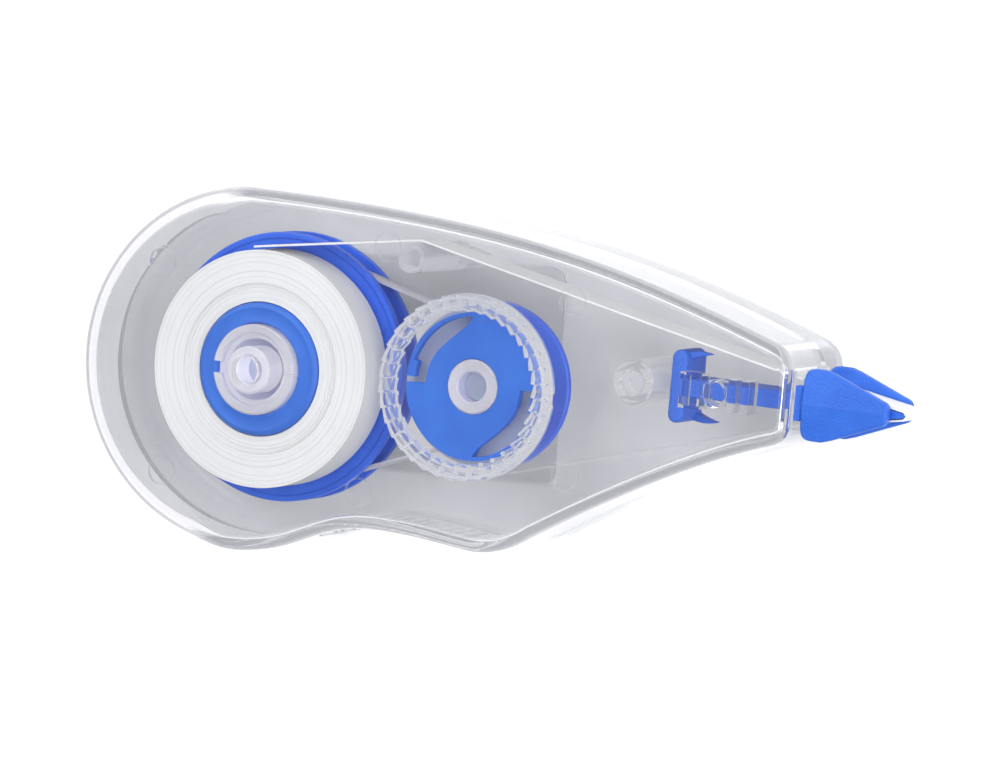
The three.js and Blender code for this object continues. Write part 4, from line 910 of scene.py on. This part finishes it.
mesh = bmesh.new()
TABLE_HALF, TABLE_DROP, TABLE_GLOW = 3, 0.0002, 0.3
bmesh.ops.create_grid(mesh, x_segments=2, y_segments=2, size=TABLE_HALF)
table = solid_from(mesh, "table")
table.location.z = -TABLE_DROP
white, nodes, links, shader = new_material("white_table")
grain = grain_node(nodes, 40, 6)
links.new(ramp(nodes, links, grain.outputs["Patches"],
               [(0.3, (0.86, 0.86, 0.865)), (0.7, (0.88, 0.88, 0.88))]), shader.inputs["Base Color"])
shader.inputs["Roughness"].default_value = 0.9
glow, path = nodes.new("ShaderNodeEmission"), nodes.new("ShaderNodeLightPath")
seen_1, seen_2 = nodes.new("ShaderNodeMath"), nodes.new("ShaderNodeMath")
strength, total = nodes.new("ShaderNodeMath"), nodes.new("ShaderNodeAddShader")
seen_1.operation = seen_2.operation = "MAXIMUM"
strength.operation = "MULTIPLY"
strength.inputs[1].default_value = TABLE_GLOW
links.new(path.outputs["Is Camera Ray"], seen_1.inputs[0])
links.new(path.outputs["Is Glossy Ray"], seen_1.inputs[1])
links.new(seen_1.outputs[0], seen_2.inputs[0])
links.new(path.outputs["Is Transmission Ray"], seen_2.inputs[1])
links.new(seen_2.outputs[0], strength.inputs[0])
links.new(strength.outputs[0], glow.inputs["Strength"])
links.new(shader.outputs["BSDF"], total.inputs[0])
links.new(glow.outputs["Emission"], total.inputs[1])
links.new(total.outputs["Shader"], nodes["Material Output"].inputs["Surface"])
table.data.materials.append(white)


def soft_box(name, place, aim, size, power):
    """A rectangular lamp at a place, turned to a point; metres and watts."""
    lamp = bpy.data.lights.new(name, "AREA")
    lamp.shape = "RECTANGLE"
    lamp.size, lamp.size_y = size
    lamp.energy = power
    made = bpy.data.objects.new(name, lamp)
    made.location = place
    made.rotation_euler = (Vector(aim) - Vector(place)).to_track_quat("-Z", "Y").to_euler()
    scene.collection.objects.link(made)
    return made


soft_box("key_box", (-0.30, 0.50, 0.70), (-0.01, 0, 0), (0.7, 0.6), 4.4)
soft_box("fill_box", (0.62, 0.0, 0.42), (0.02, 0, 0), (0.5, 0.5), 3.6)

world = bpy.data.worlds.new("studio")
scene.world = world
world.use_nodes = True
nodes, links = world.node_tree.nodes, world.node_tree.links
room, walls = nodes["Background"], nodes.new("ShaderNodeBackground")
path = nodes.new("ShaderNodeLightPath")
room.inputs["Color"].default_value = (0.93, 0.93, 0.95, 1)
room.inputs["Strength"].default_value = 0.6
walls.inputs["Color"].default_value = (0.84, 0.85, 0.90, 1)
walls.inputs["Strength"].default_value = 0.8
seen = nodes.new("ShaderNodeMath")
seen.operation = "MAXIMUM"
mix = nodes.new("ShaderNodeMixShader")
links.new(path.outputs["Is Glossy Ray"], seen.inputs[0])
links.new(path.outputs["Is Transmission Ray"], seen.inputs[1])
links.new(seen.outputs[0], mix.inputs["Fac"])
links.new(room.outputs[0], mix.inputs[1])
links.new(walls.outputs[0], mix.inputs[2])
links.new(mix.outputs[0], nodes["World Output"].inputs["Surface"])

VIEW_TURN = math.radians(25.5)
VIEW_LIFT = math.radians(5.5)
VIEW_ROLL = math.radians(5.2)
VIEW_DISTANCE = 0.7
VIEW_TARGET = Vector((0, 0, 0.0132))
VIEW_OFFSET = (-0.02674, 0.00125)
LENS, SENSOR, NEAR = 231.8, 36, 0.05
back = Vector((math.sin(VIEW_TURN) * math.cos(VIEW_LIFT), math.sin(VIEW_LIFT),
               math.cos(VIEW_TURN) * math.cos(VIEW_LIFT)))
level = Vector((math.cos(VIEW_TURN), 0, -math.sin(VIEW_TURN)))
upright = back.cross(level)
right = math.cos(VIEW_ROLL) * level + math.sin(VIEW_ROLL) * upright
up = -math.sin(VIEW_ROLL) * level + math.cos(VIEW_ROLL) * upright
camera_data = bpy.data.cameras.new("camera")
camera_data.sensor_width = SENSOR
camera_data.lens = LENS
camera_data.clip_start = NEAR
camera = bpy.data.objects.new("camera", camera_data)
turn = Matrix((right, up, back)).transposed()
camera.matrix_world = turn.to_4x4()
camera.location = VIEW_TARGET + VIEW_DISTANCE * back - VIEW_OFFSET[0] * right - VIEW_OFFSET[1] * up
scene.collection.objects.link(camera)
scene.camera = camera

bpy.context.view_layer.update()
